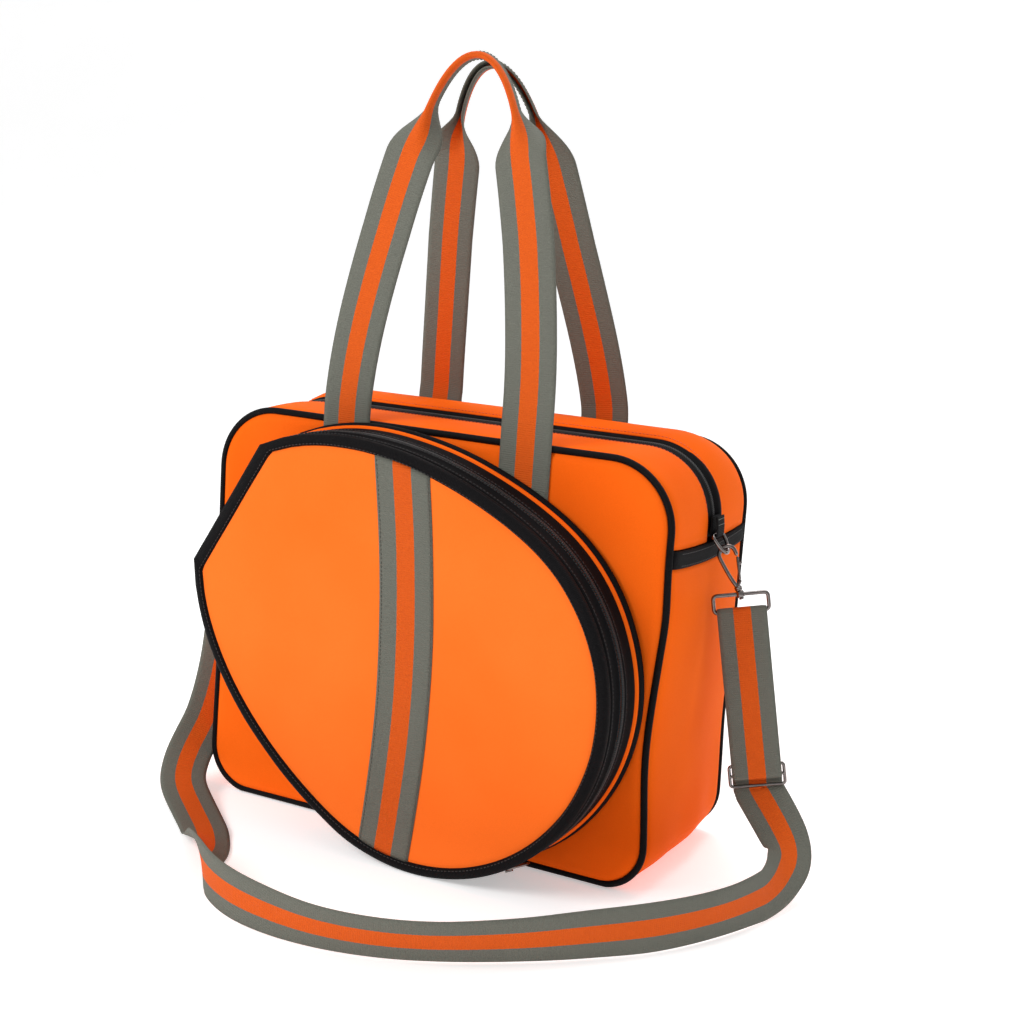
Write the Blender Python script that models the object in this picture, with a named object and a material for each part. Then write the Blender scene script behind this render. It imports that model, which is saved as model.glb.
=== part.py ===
"""Paddle case: a soft zipped tote with a racket-head pocket, two webbing handles and a shoulder strap.

Metres, +Z up. The bag stands on z = 0 with its front towards -Y.
The origin is the middle of its base.
"""
import bpy
import bmesh
from math import cos, pi, radians, sin, sqrt
from mathutils import Matrix, Vector

# Bag body
BAG_WIDTH = 0.420
BAG_DEPTH = 0.170
BAG_HEIGHT = 0.345
TOP_RADIUS = 0.055
BOTTOM_RADIUS = 0.040
PANEL_THICKNESS = 0.005
GUSSET_THICKNESS = 0.005
PIPING_RADIUS = 0.0027
CLEARANCE = 0.0003
BAND_HEIGHT = 0.0135
BAND_DROP = 0.067
BAND_PROUD = 0.0012

# Main zip
TEETH_WIDTH = 0.0045
TEETH_PROUD = 0.0006
TEETH_DEPTH = 0.0020
TAPE_WIDTH = 0.0050
TAPE_THICKNESS = 0.0012
TAPE_RECESS = 0.0004
MAIN_SLIDER_START = 0.080

# Racket pocket: a half circle at the racket's tip, half an ellipse towards its throat
HEAD_RADIUS = 0.156
HEAD_LENGTH = 0.2436
THROAT_LENGTH = 0.2245
HEAD_X = 0.039
HEAD_LIFT = 0.0008
AXIS_TILT = radians(-31)
POCKET_DEPTH = 0.0637
POCKET_STANDOFF = 0.0026
BASE_STRIP_WIDTH = 0.0045
POCKET_TEETH_WIDTH = 0.005
OUTER_TAPE_WIDTH = 0.0194
BINDING_WIDTH = 0.007
BINDING_DEPTH = 0.008
FACE_THICKNESS = 0.004
WALL_THICKNESS = 0.003
POCKET_SLIDER_ANGLE = radians(-64)
STRIPE_THICKNESS = 0.0013
STRIPE_WIDTH = 0.048
STRIPE_TOP_X = 0.0115
STRIPE_MIDDLE_X = 0.0245
STRIPE_BOTTOM_X = 0.011
STRIPE_MARGIN = 0.004

# Webbing, handles
WEBBING_WIDTH = 0.0395
WEBBING_THICKNESS = 0.0018
HANDLE_WEBBING_WIDTH = 0.0445
GRIP_NARROWING = 0.16
HANDLE_SPACING = 0.165
GRIP_HEIGHT = 0.060
GRIP_ARCH = radians(36)
FOLD_LENGTH = 0.045
GRIP_TURN = 0.30
FOLD_ANGLE = radians(80)
ANCHOR_LENGTH = 0.086
HINGE_RISE = 0.004
HINGE_STANDOFF = 0.0035
HINGE_GAP = 0.0012

# Each handle: height, lean over the bag, half the width of its grip, how late its legs close in,
# and how far its feet and its grip stand to one side
FRONT_HANDLE = (0.292, 0.027, 0.0435, 1.8, 0.0, 0.003)
REAR_HANDLE = (0.299, 0.082, 0.040, 1.25, -0.010, -0.013)

# Zip slider and puller
SLIDER_LENGTH = 0.011
SLIDER_WIDTH = 0.009
SLIDER_HEIGHT = 0.0026
CROWN_LENGTH = 0.0064
CROWN_HEIGHT = 0.0040
CROWN_WIDTH = 0.0022
CROWN_WALL = 0.0012
PULLER_WIDTH = 0.007
PULLER_LENGTH = 0.020
PULLER_THICKNESS = 0.0011
PULLER_BAR = 0.0014
PULLER_WINDOW = 0.0058
PULLER_RAIL = 0.0013

# Rings, hooks and loops of the shoulder strap
RING_WIRE = 0.0014
RING_HALF_WIDTH = 0.0112
RING_DROP = 0.017
RING_TILT = radians(35)
RING_CLEARANCE = 0.0004
RING_PLAY = 0.0021
TAB_WIDTH = 0.017
TAB_HEIGHT = 0.020
TAB_THICKNESS = 0.0064
TAB_FOLD = 0.0045
TAB_DROP = 0.0695
HOOK_WIRE = 0.0016
GATE_WIRE = 0.0011
HOOK_HALF_WIDTH = 0.0068
HOOK_LENGTH = 0.033
BARREL_RADIUS = 0.0028
BARREL_HEIGHT = 0.0035
SHANK_RADIUS = 0.0012
SHANK_CLEARANCE = 0.0003
BOSS_RADIUS = 0.0034
BOSS_HEIGHT = 0.0052
BOSS_GAP = 0.0004
SHANK_HEAD_RADIUS = 0.0020
SHANK_HEAD_HEIGHT = 0.0015
LOOP_WIRE = 0.0016
LOOP_HEIGHT = 0.014
LOOP_SIDE_GAP = 0.0005
LOOP_CORNER = 0.003

# Strap adjuster, on the straight doubled stretch below the right-hand loop
ADJUSTER_DROP = 0.133
ADJUSTER_BAR = 0.0013
ADJUSTER_PITCH = 0.0085
ADJUSTER_SIDE_GAP = 0.0008
RETURN_TAIL = 0.005
SEWN_TAIL = 0.026

# Shoulder strap: points of its centre line, from the left-hand loop to the adjuster, each with
# the direction from its upper or left edge to its other edge. They were laid beside a bag and with
# webbing of the ROUTE sizes, and move out with larger ones.
ROUTE_BAG_WIDTH = 0.420
ROUTE_BAG_DEPTH = 0.170
ROUTE_WEBBING_WIDTH = 0.0395
STRAP_ROUTE = [
    ((-0.2385, -0.024, 0.172), (0.86, 0.50, 0.00)),
    ((-0.2320, -0.038, 0.124), (0.84, 0.54, 0.00)),
    ((-0.2295, -0.051, 0.086), (0.78, 0.62, 0.00)),
    ((-0.2270, -0.070, 0.054), (0.68, 0.73, 0.00)),
    ((-0.2250, -0.095, 0.031), (0.64, 0.77, 0.00)),
    ((-0.2100, -0.123, 0.013), (0.80, 0.60, 0.00)),
    ((-0.1740, -0.152, 0.004), (0.84, 0.54, 0.00)),
    ((-0.1410, -0.182, 0.004), (0.83, 0.55, -0.05)),
    ((-0.1150, -0.213, 0.006), (0.76, 0.48, -0.40)),
    ((-0.0950, -0.245, 0.014), (0.40, 0.26, -0.88)),
    ((-0.0720, -0.273, 0.019), (0.05, 0.03, -1.00)),
    ((-0.0430, -0.294, 0.020), (0.00, 0.00, -1.00)),
    ((0.0020, -0.307, 0.020), (0.00, 0.10, -0.99)),
    ((0.0520, -0.309, 0.019), (0.00, 0.30, -0.95)),
    ((0.1000, -0.297, 0.018), (0.05, 0.42, -0.90)),
    ((0.1450, -0.273, 0.016), (0.18, 0.52, -0.82)),
    ((0.1850, -0.242, 0.016), (0.20, 0.50, -0.84)),
    ((0.2210, -0.207, 0.018), (0.10, 0.28, -0.95)),
    ((0.2560, -0.168, 0.019), (0.00, 0.05, -1.00)),
    ((0.2840, -0.122, 0.019), (-0.06, 0.02, -1.00)),
    ((0.3010, -0.072, 0.020), (0.15, 0.02, -0.98)),
    ((0.3050, -0.032, 0.027), (0.60, 0.15, -0.75)),
    ((0.2990, -0.008, 0.042), (0.86, 0.28, -0.30)),
]
ROUTE_STEP = 0.009
FLOOR_GAP = 0.0004

# Derived places
GUSSET_EDGE = BAG_DEPTH / 2 - 2 * PIPING_RADIUS - CLEARANCE
BAND_TOP = BAG_HEIGHT - BAND_DROP
BAND_BOTTOM = BAND_TOP - BAND_HEIGHT
TAPE_EDGE = TEETH_WIDTH / 2 + CLEARANCE
ZIP_OPENING = TAPE_EDGE + TAPE_WIDTH + CLEARANCE
HEAD_Z = HEAD_RADIUS + HEAD_LIFT
POCKET_BACK = -BAG_DEPTH / 2 - POCKET_STANDOFF
POCKET_FRONT = POCKET_BACK - POCKET_DEPTH
HINGE_Z = BAG_HEIGHT + HINGE_RISE
HINGE_Y = BAG_DEPTH / 2 + HINGE_STANDOFF
WEBBING_Y = BAG_DEPTH / 2 + CLEARANCE + WEBBING_THICKNESS / 2
RING_PIVOT_X = BAG_WIDTH / 2 + BAND_PROUD + CLEARANCE + TAB_THICKNESS / 2
RING_PIVOT_Z = BAG_HEIGHT - TAB_DROP + TAB_FOLD
LOOP_HALF_WIDTH = WEBBING_WIDTH / 2 + LOOP_SIDE_GAP + LOOP_WIRE
WRAP_RADIUS = LOOP_WIRE + CLEARANCE + WEBBING_THICKNESS / 2
BAR_WRAP_RADIUS = ADJUSTER_BAR + CLEARANCE + WEBBING_THICKNESS / 2
ADJUSTER_NORMAL = -WRAP_RADIUS + 1.5 * WEBBING_THICKNESS + 3 * CLEARANCE + ADJUSTER_BAR - CLEARANCE


# ---------------------------------------------------------------- helpers

def clear_scene():
    for obj in list(bpy.data.objects):
        bpy.data.objects.remove(obj, do_unlink=True)


def make_material(name, colour, roughness, metallic=0.0):
    material = bpy.data.materials.new(name)
    material.use_nodes = True
    shader = material.node_tree.nodes["Principled BSDF"]
    shader.inputs["Base Color"].default_value = (*colour, 1.0)
    shader.inputs["Roughness"].default_value = roughness
    shader.inputs["Metallic"].default_value = metallic
    material.diffuse_color = (*colour, 1.0)
    return material


def add_object(name, bm, material, pivot=(0, 0, 0), smooth_angle=None):
    """Turn a bmesh in world coordinates into an object whose origin is at pivot."""
    bmesh.ops.recalc_face_normals(bm, faces=bm.faces[:])
    bmesh.ops.translate(bm, verts=bm.verts[:], vec=-Vector(pivot))
    mesh = bpy.data.meshes.new(name)
    bm.to_mesh(mesh)
    bm.free()
    mesh.materials.append(material)
    if smooth_angle is not None:
        mesh.shade_smooth()
        mesh.set_sharp_from_angle(angle=radians(smooth_angle))
    obj = bpy.data.objects.new(name, mesh)
    obj.location = pivot
    bpy.context.scene.collection.objects.link(obj)
    return obj


def loft(bm, sections, closed=False):
    """Skin a run of equal-length vertex loops, with flat caps unless the run is closed."""
    loops = [[bm.verts.new(point) for point in section] for section in sections]
    count = len(loops)
    for index in range(count if closed else count - 1):
        here, there = loops[index], loops[(index + 1) % count]
        for side in range(len(here)):
            after = (side + 1) % len(here)
            bm.faces.new((here[side], here[after], there[after], there[side]))
    if not closed:
        bm.faces.new(loops[0])
        bm.faces.new(loops[-1])


def arc(centre, radius, start, end, steps):
    """Points (x, z) on an arc; the angles are in degrees."""
    angles = [radians(start + (end - start) * k / steps) for k in range(steps + 1)]
    return [(centre[0] + radius * cos(a), centre[1] + radius * sin(a)) for a in angles]


def strip(outer, inner, y_low, y_high, closed=False):
    """A band between two matching (x, z) outlines, reaching from y_low to y_high."""
    bm = bmesh.new()
    sections = []
    for (xo, zo), (xi, zi) in zip(outer, inner):
        sections.append([(xo, y_low, zo), (xo, y_high, zo), (xi, y_high, zi), (xi, y_low, zi)])
    loft(bm, sections, closed)
    return bm


def plate(outline, y_low, y_high):
    """A flat plate with an (x, z) outline."""
    bm = bmesh.new()
    loft(bm, [[(x, y, z) for x, z in outline] for y in (y_low, y_high)])
    return bm


def path_frames(points, closed=False, hint=None):
    """Tangent and two normals at each point, carried along without twisting."""
    count = len(points)
    frames = []
    across = Vector(hint) if hint else None
    for index, point in enumerate(points):
        before = points[index - 1] if closed or index else point
        after = points[(index + 1) % count] if closed or index < count - 1 else point
        tangent = (after - before).normalized()
        if across is None:
            across = tangent.orthogonal()
        across = (across - tangent * across.dot(tangent)).normalized()
        frames.append((tangent, across, tangent.cross(across)))
    return frames


def tube(points, radius, sides, closed=False, hint=None):
    """A round rod along a path."""
    points = [Vector(point) for point in points]
    bm = bmesh.new()
    sections = []
    for point, (_, across, up) in zip(points, path_frames(points, closed, hint)):
        ring = [2 * pi * k / sides for k in range(sides)]
        sections.append([point + radius * (cos(a) * across + sin(a) * up) for a in ring])
    loft(bm, sections, closed)
    return bm


def cylinder(bm, start, end, radius, sides=16):
    """Add a closed round bar between two points to a bmesh."""
    axis = (Vector(end) - Vector(start)).normalized()
    across = axis.orthogonal().normalized()
    up = axis.cross(across)
    ring = [2 * pi * k / sides for k in range(sides)]
    ends = [[Vector(p) + radius * (cos(a) * across + sin(a) * up) for a in ring] for p in (start, end)]
    loft(bm, ends)


def box(low, high):
    bm = bmesh.new()
    corners = [[(x, y, z) for x, y in ((low[0], low[1]), (high[0], low[1]), (high[0], high[1]), (low[0], high[1]))]
               for z in (low[2], high[2])]
    loft(bm, corners)
    return bm


def bevel_edges(bm, width, segments=2):
    bmesh.ops.bevel(bm, geom=bm.edges[:], offset=width, segments=segments, affect="EDGES", profile=0.5)


def combine(obj, other, operation):
    """Join another solid to an object, or cut it away, and drop the other."""
    modifier = obj.modifiers.new("combine", "BOOLEAN")
    modifier.operation = operation
    modifier.object = other
    graph = bpy.context.evaluated_depsgraph_get()
    mesh = bpy.data.meshes.new_from_object(obj.evaluated_get(graph))
    obj.modifiers.clear()
    obj.data = mesh
    bpy.data.objects.remove(other, do_unlink=True)


def smooth_route(points, directions, step):
    """Even steps along a Catmull-Rom curve through points, with the directions blended alongside."""
    fine = []
    last = len(points) - 1
    for index in range(last):
        p0, p1 = points[max(index - 1, 0)], points[index]
        p2, p3 = points[index + 1], points[min(index + 2, last)]
        for k in range(16):
            t = k / 16
            place = 0.5 * (2 * p1 + (p2 - p0) * t + (2 * p0 - 5 * p1 + 4 * p2 - p3) * t ** 2
                           + (3 * p1 - p0 - 3 * p2 + p3) * t ** 3)
            fine.append((place, directions[index].lerp(directions[index + 1], t)))
    fine.append((points[last], directions[last]))
    reach = [0.0]
    for (a, _), (b, _) in zip(fine, fine[1:]):
        reach.append(reach[-1] + (b - a).length)
    count = max(2, round(reach[-1] / step))
    even, at = [], 0
    for k in range(count + 1):
        goal = reach[-1] * k / count
        while at < len(fine) - 2 and reach[at + 1] < goal:
            at += 1
        share = (goal - reach[at]) / (reach[at + 1] - reach[at])
        even.append((fine[at][0].lerp(fine[at + 1][0], share), fine[at][1].lerp(fine[at + 1][1], share)))
    return even


def ribbon(stations, width, thickness):
    """Flat webbing: stations hold a centre point and the direction across the width. Both faces are
    cut along the same diagonals, so that they stay one thickness apart where the webbing twists."""
    points = [point for point, _ in stations]
    bm = bmesh.new()
    sections = []
    for index, (point, across) in enumerate(stations):
        before = points[max(index - 1, 0)]
        after = points[min(index + 1, len(points) - 1)]
        tangent = (after - before).normalized()
        across = (across - tangent * across.dot(tangent)).normalized()
        side = across * width / 2
        face = across.cross(tangent) * thickness / 2
        sections.append([point - side - face, point + side - face, point + side + face, point - side + face])
    loops = [[bm.verts.new(corner) for corner in section] for section in sections]
    for here, there in zip(loops, loops[1:]):
        bm.faces.new((here[0], here[1], there[1]))
        bm.faces.new((here[0], there[1], there[0]))
        bm.faces.new((here[1], here[2], there[2], there[1]))
        bm.faces.new((here[2], here[3], there[2]))
        bm.faces.new((here[3], there[3], there[2]))
        bm.faces.new((here[3], here[0], there[0], there[3]))
    bm.faces.new(loops[0])
    bm.faces.new(loops[-1])
    return bm


class Frame:
    """A place on the strap hardware: across its width, down its length, and out of its front."""

    def __init__(self, origin, down, across):
        self.origin = Vector(origin)
        self.down = Vector(down).normalized()
        across = Vector(across)
        self.across = (across - self.down * across.dot(self.down)).normalized()
        self.out = self.down.cross(self.across)

    def at(self, across=0.0, down=0.0, out=0.0):
        return self.origin + self.across * across + self.down * down + self.out * out


# ---------------------------------------------------------------- bag body

def upper_outline(inset, low_z):
    """The bag's outline from the right-hand band over the top to the left-hand band."""
    half = BAG_WIDTH / 2 - inset
    middle = BAG_WIDTH / 2 - TOP_RADIUS
    height = BAG_HEIGHT - TOP_RADIUS
    right = arc((middle, height), TOP_RADIUS - inset, 0, 90, 8)
    left = arc((-middle, height), TOP_RADIUS - inset, 90, 180, 8)
    return [(half, low_z)] + right + left + [(-half, low_z)]


def lower_outline(inset, high_z):
    """The bag's outline from the left-hand band under the base to the right-hand band."""
    half = BAG_WIDTH / 2 - inset
    middle = BAG_WIDTH / 2 - BOTTOM_RADIUS
    left = arc((-middle, BOTTOM_RADIUS), BOTTOM_RADIUS - inset, 180, 270, 8)
    right = arc((middle, BOTTOM_RADIUS), BOTTOM_RADIUS - inset, 270, 360, 8)
    return [(-half, high_z)] + left + right + [(half, high_z)]


def full_outline(inset):
    upper = upper_outline(inset, 0)[1:-1]
    lower = lower_outline(inset, 0)[1:-1]
    return upper + lower


def build_panels(fabric):
    outline = full_outline(2 * PIPING_RADIUS + CLEARANCE)
    face = BAG_DEPTH / 2
    add_object("front_panel", plate(outline, -face, -face + PANEL_THICKNESS), fabric)
    add_object("rear_panel", plate(outline, face - PANEL_THICKNESS, face), fabric)


def build_gussets(fabric, binding):
    low = BAND_TOP + CLEARANCE
    high = BAND_BOTTOM - CLEARANCE
    outer, inner = upper_outline(0, low), upper_outline(GUSSET_THICKNESS, low)
    add_object("top_gusset_front", strip(outer, inner, -GUSSET_EDGE, -ZIP_OPENING), fabric)
    add_object("top_gusset_rear", strip(outer, inner, ZIP_OPENING, GUSSET_EDGE), fabric)
    outer, inner = lower_outline(0, high), lower_outline(GUSSET_THICKNESS, high)
    add_object("lower_gusset", strip(outer, inner, -GUSSET_EDGE, GUSSET_EDGE), fabric)
    for side, name in ((1, "side_band_right"), (-1, "side_band_left")):
        edges = sorted((side * (BAG_WIDTH / 2 - GUSSET_THICKNESS), side * (BAG_WIDTH / 2 + BAND_PROUD)))
        band = box((edges[0], -GUSSET_EDGE, BAND_BOTTOM), (edges[1], GUSSET_EDGE, BAND_TOP))
        add_object(name, band, binding)


def build_piping(binding):
    for side, name in ((-1, "front_piping"), (1, "rear_piping")):
        y = side * (BAG_DEPTH / 2 - PIPING_RADIUS)
        path = [(x, y, z) for x, z in full_outline(PIPING_RADIUS)]
        add_object(name, tube(path, PIPING_RADIUS, 8, closed=True, hint=(0, 1, 0)), binding, smooth_angle=50)


def build_main_zip(tape, metal):
    low = BAND_TOP + CLEARANCE
    outer = upper_outline(TAPE_RECESS, low)
    inner = upper_outline(TAPE_RECESS + TAPE_THICKNESS, low)
    add_object("main_zip_tape_front", strip(outer, inner, -TAPE_EDGE - TAPE_WIDTH, -TAPE_EDGE), tape)
    add_object("main_zip_tape_rear", strip(outer, inner, TAPE_EDGE, TAPE_EDGE + TAPE_WIDTH), tape)
    outer = upper_outline(-TEETH_PROUD, low)
    inner = upper_outline(TEETH_DEPTH, low)
    add_object("main_zip_teeth", strip(outer, inner, -TEETH_WIDTH / 2, TEETH_WIDTH / 2), tape)
    start = -(BAG_WIDTH / 2 - MAIN_SLIDER_START)
    seat = Frame((start, 0, BAG_HEIGHT + TEETH_PROUD + CLEARANCE), (0, 0, -1), (-1, 0, 0))
    build_slider("main_zip_slider", "main_zip_puller", seat, metal)


# ---------------------------------------------------------------- zip sliders

def build_slider(slider_name, puller_name, seat, metal):
    """A slider on the zip's outer side. The seat's across points along the zip, the way the
    puller lies; its down points into the zip."""
    half_length, half_width = SLIDER_LENGTH / 2, SLIDER_WIDTH / 2

    def block(length, width, bottom, top, centre=0.0):
        bm = bmesh.new()
        corners = ((-1, -1), (1, -1), (1, 1), (-1, 1))
        sections = []
        for height in (bottom, top):
            sections.append([seat.at(centre + u * length, -height, v * width) for u, v in corners])
        loft(bm, sections)
        return bm

    body = block(half_length, half_width, 0, SLIDER_HEIGHT)
    bevel_edges(body, 0.0007)
    slider = add_object(slider_name, body, metal, seat.at(), smooth_angle=40)
    crown = block(CROWN_LENGTH / 2, CROWN_WIDTH / 2, SLIDER_HEIGHT - 0.0004, SLIDER_HEIGHT + CROWN_HEIGHT)
    combine(slider, add_object("crown", crown, metal), "UNION")
    window = block(CROWN_LENGTH / 2 - CROWN_WALL, CROWN_WIDTH, SLIDER_HEIGHT,
                   SLIDER_HEIGHT + CROWN_HEIGHT - CROWN_WALL)
    combine(slider, add_object("window", window, metal), "DIFFERENCE")

    pivot_height = SLIDER_HEIGHT + (CROWN_HEIGHT - CROWN_WALL) / 2
    bottom = pivot_height - PULLER_THICKNESS / 2
    top = pivot_height + PULLER_THICKNESS / 2
    bar = PULLER_BAR / 2
    tab = block(PULLER_LENGTH / 2, PULLER_WIDTH / 2, bottom, top, PULLER_LENGTH / 2 - bar)
    corner_edges = [edge for edge in tab.edges if abs((edge.verts[0].co - edge.verts[1].co).dot(seat.down)) > 1e-5]
    bmesh.ops.bevel(tab, geom=corner_edges, offset=0.0020, segments=3, affect="EDGES", profile=0.5)
    puller = add_object(puller_name, tab, metal, seat.at(0, -pivot_height), smooth_angle=40)
    hole = block(PULLER_WINDOW / 2, PULLER_WIDTH / 2 - PULLER_RAIL, bottom - PULLER_BAR, top + PULLER_BAR,
                 bar + PULLER_WINDOW / 2)
    combine(puller, add_object("hole", hole, metal), "DIFFERENCE")


# ---------------------------------------------------------------- racket pocket

def head_point(along, across):
    """A point (x, z) from its place along the racket's axis and across it."""
    x = HEAD_X + along * cos(AXIS_TILT) - across * sin(AXIS_TILT)
    z = HEAD_Z + along * sin(AXIS_TILT) + across * cos(AXIS_TILT)
    return x, z


def head_outline(inset, throat_inset=0.0):
    """The pocket's outline from the lower throat corner round the tip to the upper one."""
    radius = HEAD_RADIUS - inset
    length = HEAD_LENGTH - inset
    cut = THROAT_LENGTH - throat_inset
    corner_across = radius * sqrt(1 - (cut / length) ** 2)
    flank = []
    steps = 12
    for k in range(steps):
        share = (k / steps) ** 0.8
        along = -cut * (1 - share)
        flank.append((along, radius * sqrt(1 - (along / length) ** 2)))
    flank[0] = (-cut, corner_across)
    lower = [head_point(along, -across) for along, across in flank]
    upper = [head_point(along, across) for along, across in reversed(flank)]
    tip = [head_point(radius * cos(a), radius * sin(a)) for a in (radians(-90 + 180 * k / 26) for k in range(27))]
    return lower + tip + upper


def wall(name, depth_from, depth_to, material, inset=0.0, thickness=WALL_THICKNESS):
    """A strip of the pocket's side wall; depths are counted forwards from the pocket's back."""
    band = strip(head_outline(inset), head_outline(inset + thickness),
                 POCKET_BACK - depth_to, POCKET_BACK - depth_from)
    add_object(name, band, material)


def build_pocket(fabric, tape, binding, webbing, metal):
    y = POCKET_BACK - PIPING_RADIUS
    path = [(x, y, z) for x, z in head_outline(PIPING_RADIUS)]
    add_object("pocket_base_piping", tube(path, PIPING_RADIUS, 8, hint=(0, 1, 0)), binding, smooth_angle=50)

    strip_start = 2 * PIPING_RADIUS + CLEARANCE
    strip_end = strip_start + BASE_STRIP_WIDTH
    binding_start = POCKET_DEPTH - BINDING_DEPTH
    outer_tape_end = binding_start - CLEARANCE
    outer_tape_start = outer_tape_end - OUTER_TAPE_WIDTH
    teeth_end = outer_tape_start - CLEARANCE
    teeth_start = teeth_end - POCKET_TEETH_WIDTH
    wall("pocket_base_strip", strip_start, strip_end, fabric)
    wall("pocket_zip_tape_inner", strip_end + CLEARANCE, teeth_start - CLEARANCE, tape)
    wall("pocket_zip_tape_outer", outer_tape_start, outer_tape_end, tape)
    wall("pocket_zip_teeth", teeth_start, teeth_end, tape, inset=-TEETH_PROUD, thickness=TEETH_DEPTH)

    ring = strip(head_outline(0), head_outline(BINDING_WIDTH, BINDING_WIDTH),
                 POCKET_FRONT, POCKET_FRONT + BINDING_DEPTH, closed=True)
    add_object("pocket_binding", ring, binding)

    gap = BINDING_WIDTH + CLEARANCE
    face_front = POCKET_FRONT + 0.0010
    face = plate(head_outline(gap, gap), face_front, face_front + FACE_THICKNESS)
    add_object("pocket_face", face, fabric)
    build_stripe(gap + STRIPE_MARGIN, face_front - CLEARANCE, webbing)

    teeth_middle = POCKET_BACK - (teeth_start + teeth_end) / 2
    reach = HEAD_RADIUS + TEETH_PROUD + CLEARANCE
    radial = Vector((cos(POCKET_SLIDER_ANGLE), 0, sin(POCKET_SLIDER_ANGLE)))
    along = Vector((-sin(POCKET_SLIDER_ANGLE), 0, cos(POCKET_SLIDER_ANGLE)))
    place = Vector((HEAD_X, teeth_middle, HEAD_Z)) + radial * reach
    build_slider("pocket_zip_slider", "pocket_zip_puller", Frame(place, -radial, along), metal)


def outline_heights(x, inset):
    """The lowest and highest z of the pocket's outline at x."""
    outline = head_outline(inset, inset)
    heights = []
    for (x1, z1), (x2, z2) in zip(outline, outline[1:] + outline[:1]):
        if (x1 - x) * (x2 - x) <= 0 and x1 != x2:
            heights.append(z1 + (z2 - z1) * (x - x1) / (x2 - x1))
    return min(heights), max(heights)


def build_stripe(inset, back, webbing):
    """Webbing sewn up the pocket's face, on a shallow curve."""
    half = STRIPE_WIDTH / 2
    left = outline_heights(STRIPE_TOP_X - half, inset), outline_heights(STRIPE_TOP_X + half, inset)
    low = max(left[0][0], left[1][0])
    high = min(left[0][1], left[1][1])
    bm = bmesh.new()
    sections = []
    steps = 12
    for k in range(steps + 1):
        t = k / steps
        centre = STRIPE_BOTTOM_X * (1 - t) * (1 - 2 * t) + STRIPE_TOP_X * t * (2 * t - 1)
        centre += STRIPE_MIDDLE_X * 4 * t * (1 - t)
        z = low + (high - low) * t
        front = back - STRIPE_THICKNESS
        sections.append([(centre - half, front, z), (centre + half, front, z),
                         (centre + half, back, z), (centre - half, back, z)])
    loft(bm, sections)
    add_object("pocket_stripe", bm, webbing)


# ---------------------------------------------------------------- handles

def handle_path(height, grip_half, power):
    """Half of a handle: (x, height above the hinge) from the foot to the top of the grip."""
    foot = HANDLE_SPACING / 2
    neck = height - GRIP_HEIGHT
    leg_steps = 14
    points = []
    for k in range(leg_steps + 1):
        share = k / leg_steps
        rise = HINGE_GAP / 2 + (neck - HINGE_GAP / 2) * share
        points.append(Vector((foot - (foot - grip_half) * share ** power, rise)))
    half_width = grip_half / cos(GRIP_ARCH)
    half_height = GRIP_HEIGHT / (1 - sin(GRIP_ARCH))
    arch_steps = 10
    for k in range(1, arch_steps + 1):
        angle = GRIP_ARCH + (pi / 2 - GRIP_ARCH) * k / arch_steps
        points.append(Vector((half_width * cos(angle), height - half_height * (1 - sin(angle)))))
    return points


def lean_at(rise, height, lean):
    """How far a handle leans over the bag at a height above its hinge."""
    share = max(0.0, rise - 0.01) / (height - 0.01)
    return lean * share ** 1.15


def fold_at(rise, height):
    """How far the webbing is folded lengthwise, 0 to 1: flat on the legs, closed on the grip."""
    start = height - GRIP_HEIGHT - FOLD_LENGTH / 2
    share = min(1.0, max(0.0, (rise - start) / FOLD_LENGTH))
    return share * share * (3 - 2 * share)


def fold_section(place, across, back, share):
    """A V of webbing whose fold is on the outer side: six corners round its section."""
    flap = HANDLE_WEBBING_WIDTH / 2 * (1 - GRIP_NARROWING * share)
    thick = WEBBING_THICKNESS
    c, s = cos(FOLD_ANGLE * share), sin(FOLD_ANGLE * share)
    corners = [(0, 0), (flap * c, flap * s), (flap * c - thick * s, flap * s + thick * c), (0, thick / c),
               (-flap * c + thick * s, flap * s + thick * c), (-flap * c, flap * s)]
    return [place + across * u + back * v for u, v in corners]


def build_handle(name, side, shape, webbing):
    """side is -1 for the front handle and 1 for the rear one."""
    height, lean, grip_half, power, foot_shift, grip_shift = shape
    outer_face = side * (WEBBING_Y + WEBBING_THICKNESS / 2)
    half = handle_path(height, grip_half, power)
    path = half + [Vector((-point.x, point.y)) for point in reversed(half[:-1])]
    sections = []
    for index, point in enumerate(path):
        before, after = path[max(index - 1, 0)], path[min(index + 1, len(path) - 1)]
        run = (after - before).normalized()
        run = Vector((run.x, 0, run.y))
        if index in (0, len(path) - 1):
            run = Vector((0, 0, 1 if index == 0 else -1))
        share = fold_at(point.y, height)
        back = Vector((side * GRIP_TURN * share, -side, 0))
        back = (back - run * back.dot(run)).normalized()
        across = back.cross(run) * -side
        sway = foot_shift + (grip_shift - foot_shift) * min(1.0, point.y / 0.15) ** 1.2
        place = Vector((point.x + sway, outer_face - side * lean_at(point.y, height, lean),
                        HINGE_Z + point.y * sqrt(1 - (lean / height) ** 2)))
        sections.append(fold_section(place, across, back, share))
    bm = bmesh.new()
    loft(bm, sections)
    add_object(name, bm, webbing, (0, side * HINGE_Y, HINGE_Z))
    half_width = HANDLE_WEBBING_WIDTH / 2
    for end, label in ((-1, "left"), (1, "right")):
        x = foot_shift + end * HANDLE_SPACING / 2
        edges = sorted((side * (WEBBING_Y - WEBBING_THICKNESS / 2), side * (WEBBING_Y + WEBBING_THICKNESS / 2)))
        anchor = box((x - half_width, edges[0], HINGE_Z - ANCHOR_LENGTH),
                     (x + half_width, edges[1], HINGE_Z - HINGE_GAP / 2))
        add_object(name.replace("handle", "handle_end") + "_" + label, anchor, webbing)


# ---------------------------------------------------------------- shoulder strap hardware

def ring_direction(side):
    return Vector((side * sin(RING_TILT), 0, -cos(RING_TILT)))


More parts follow.
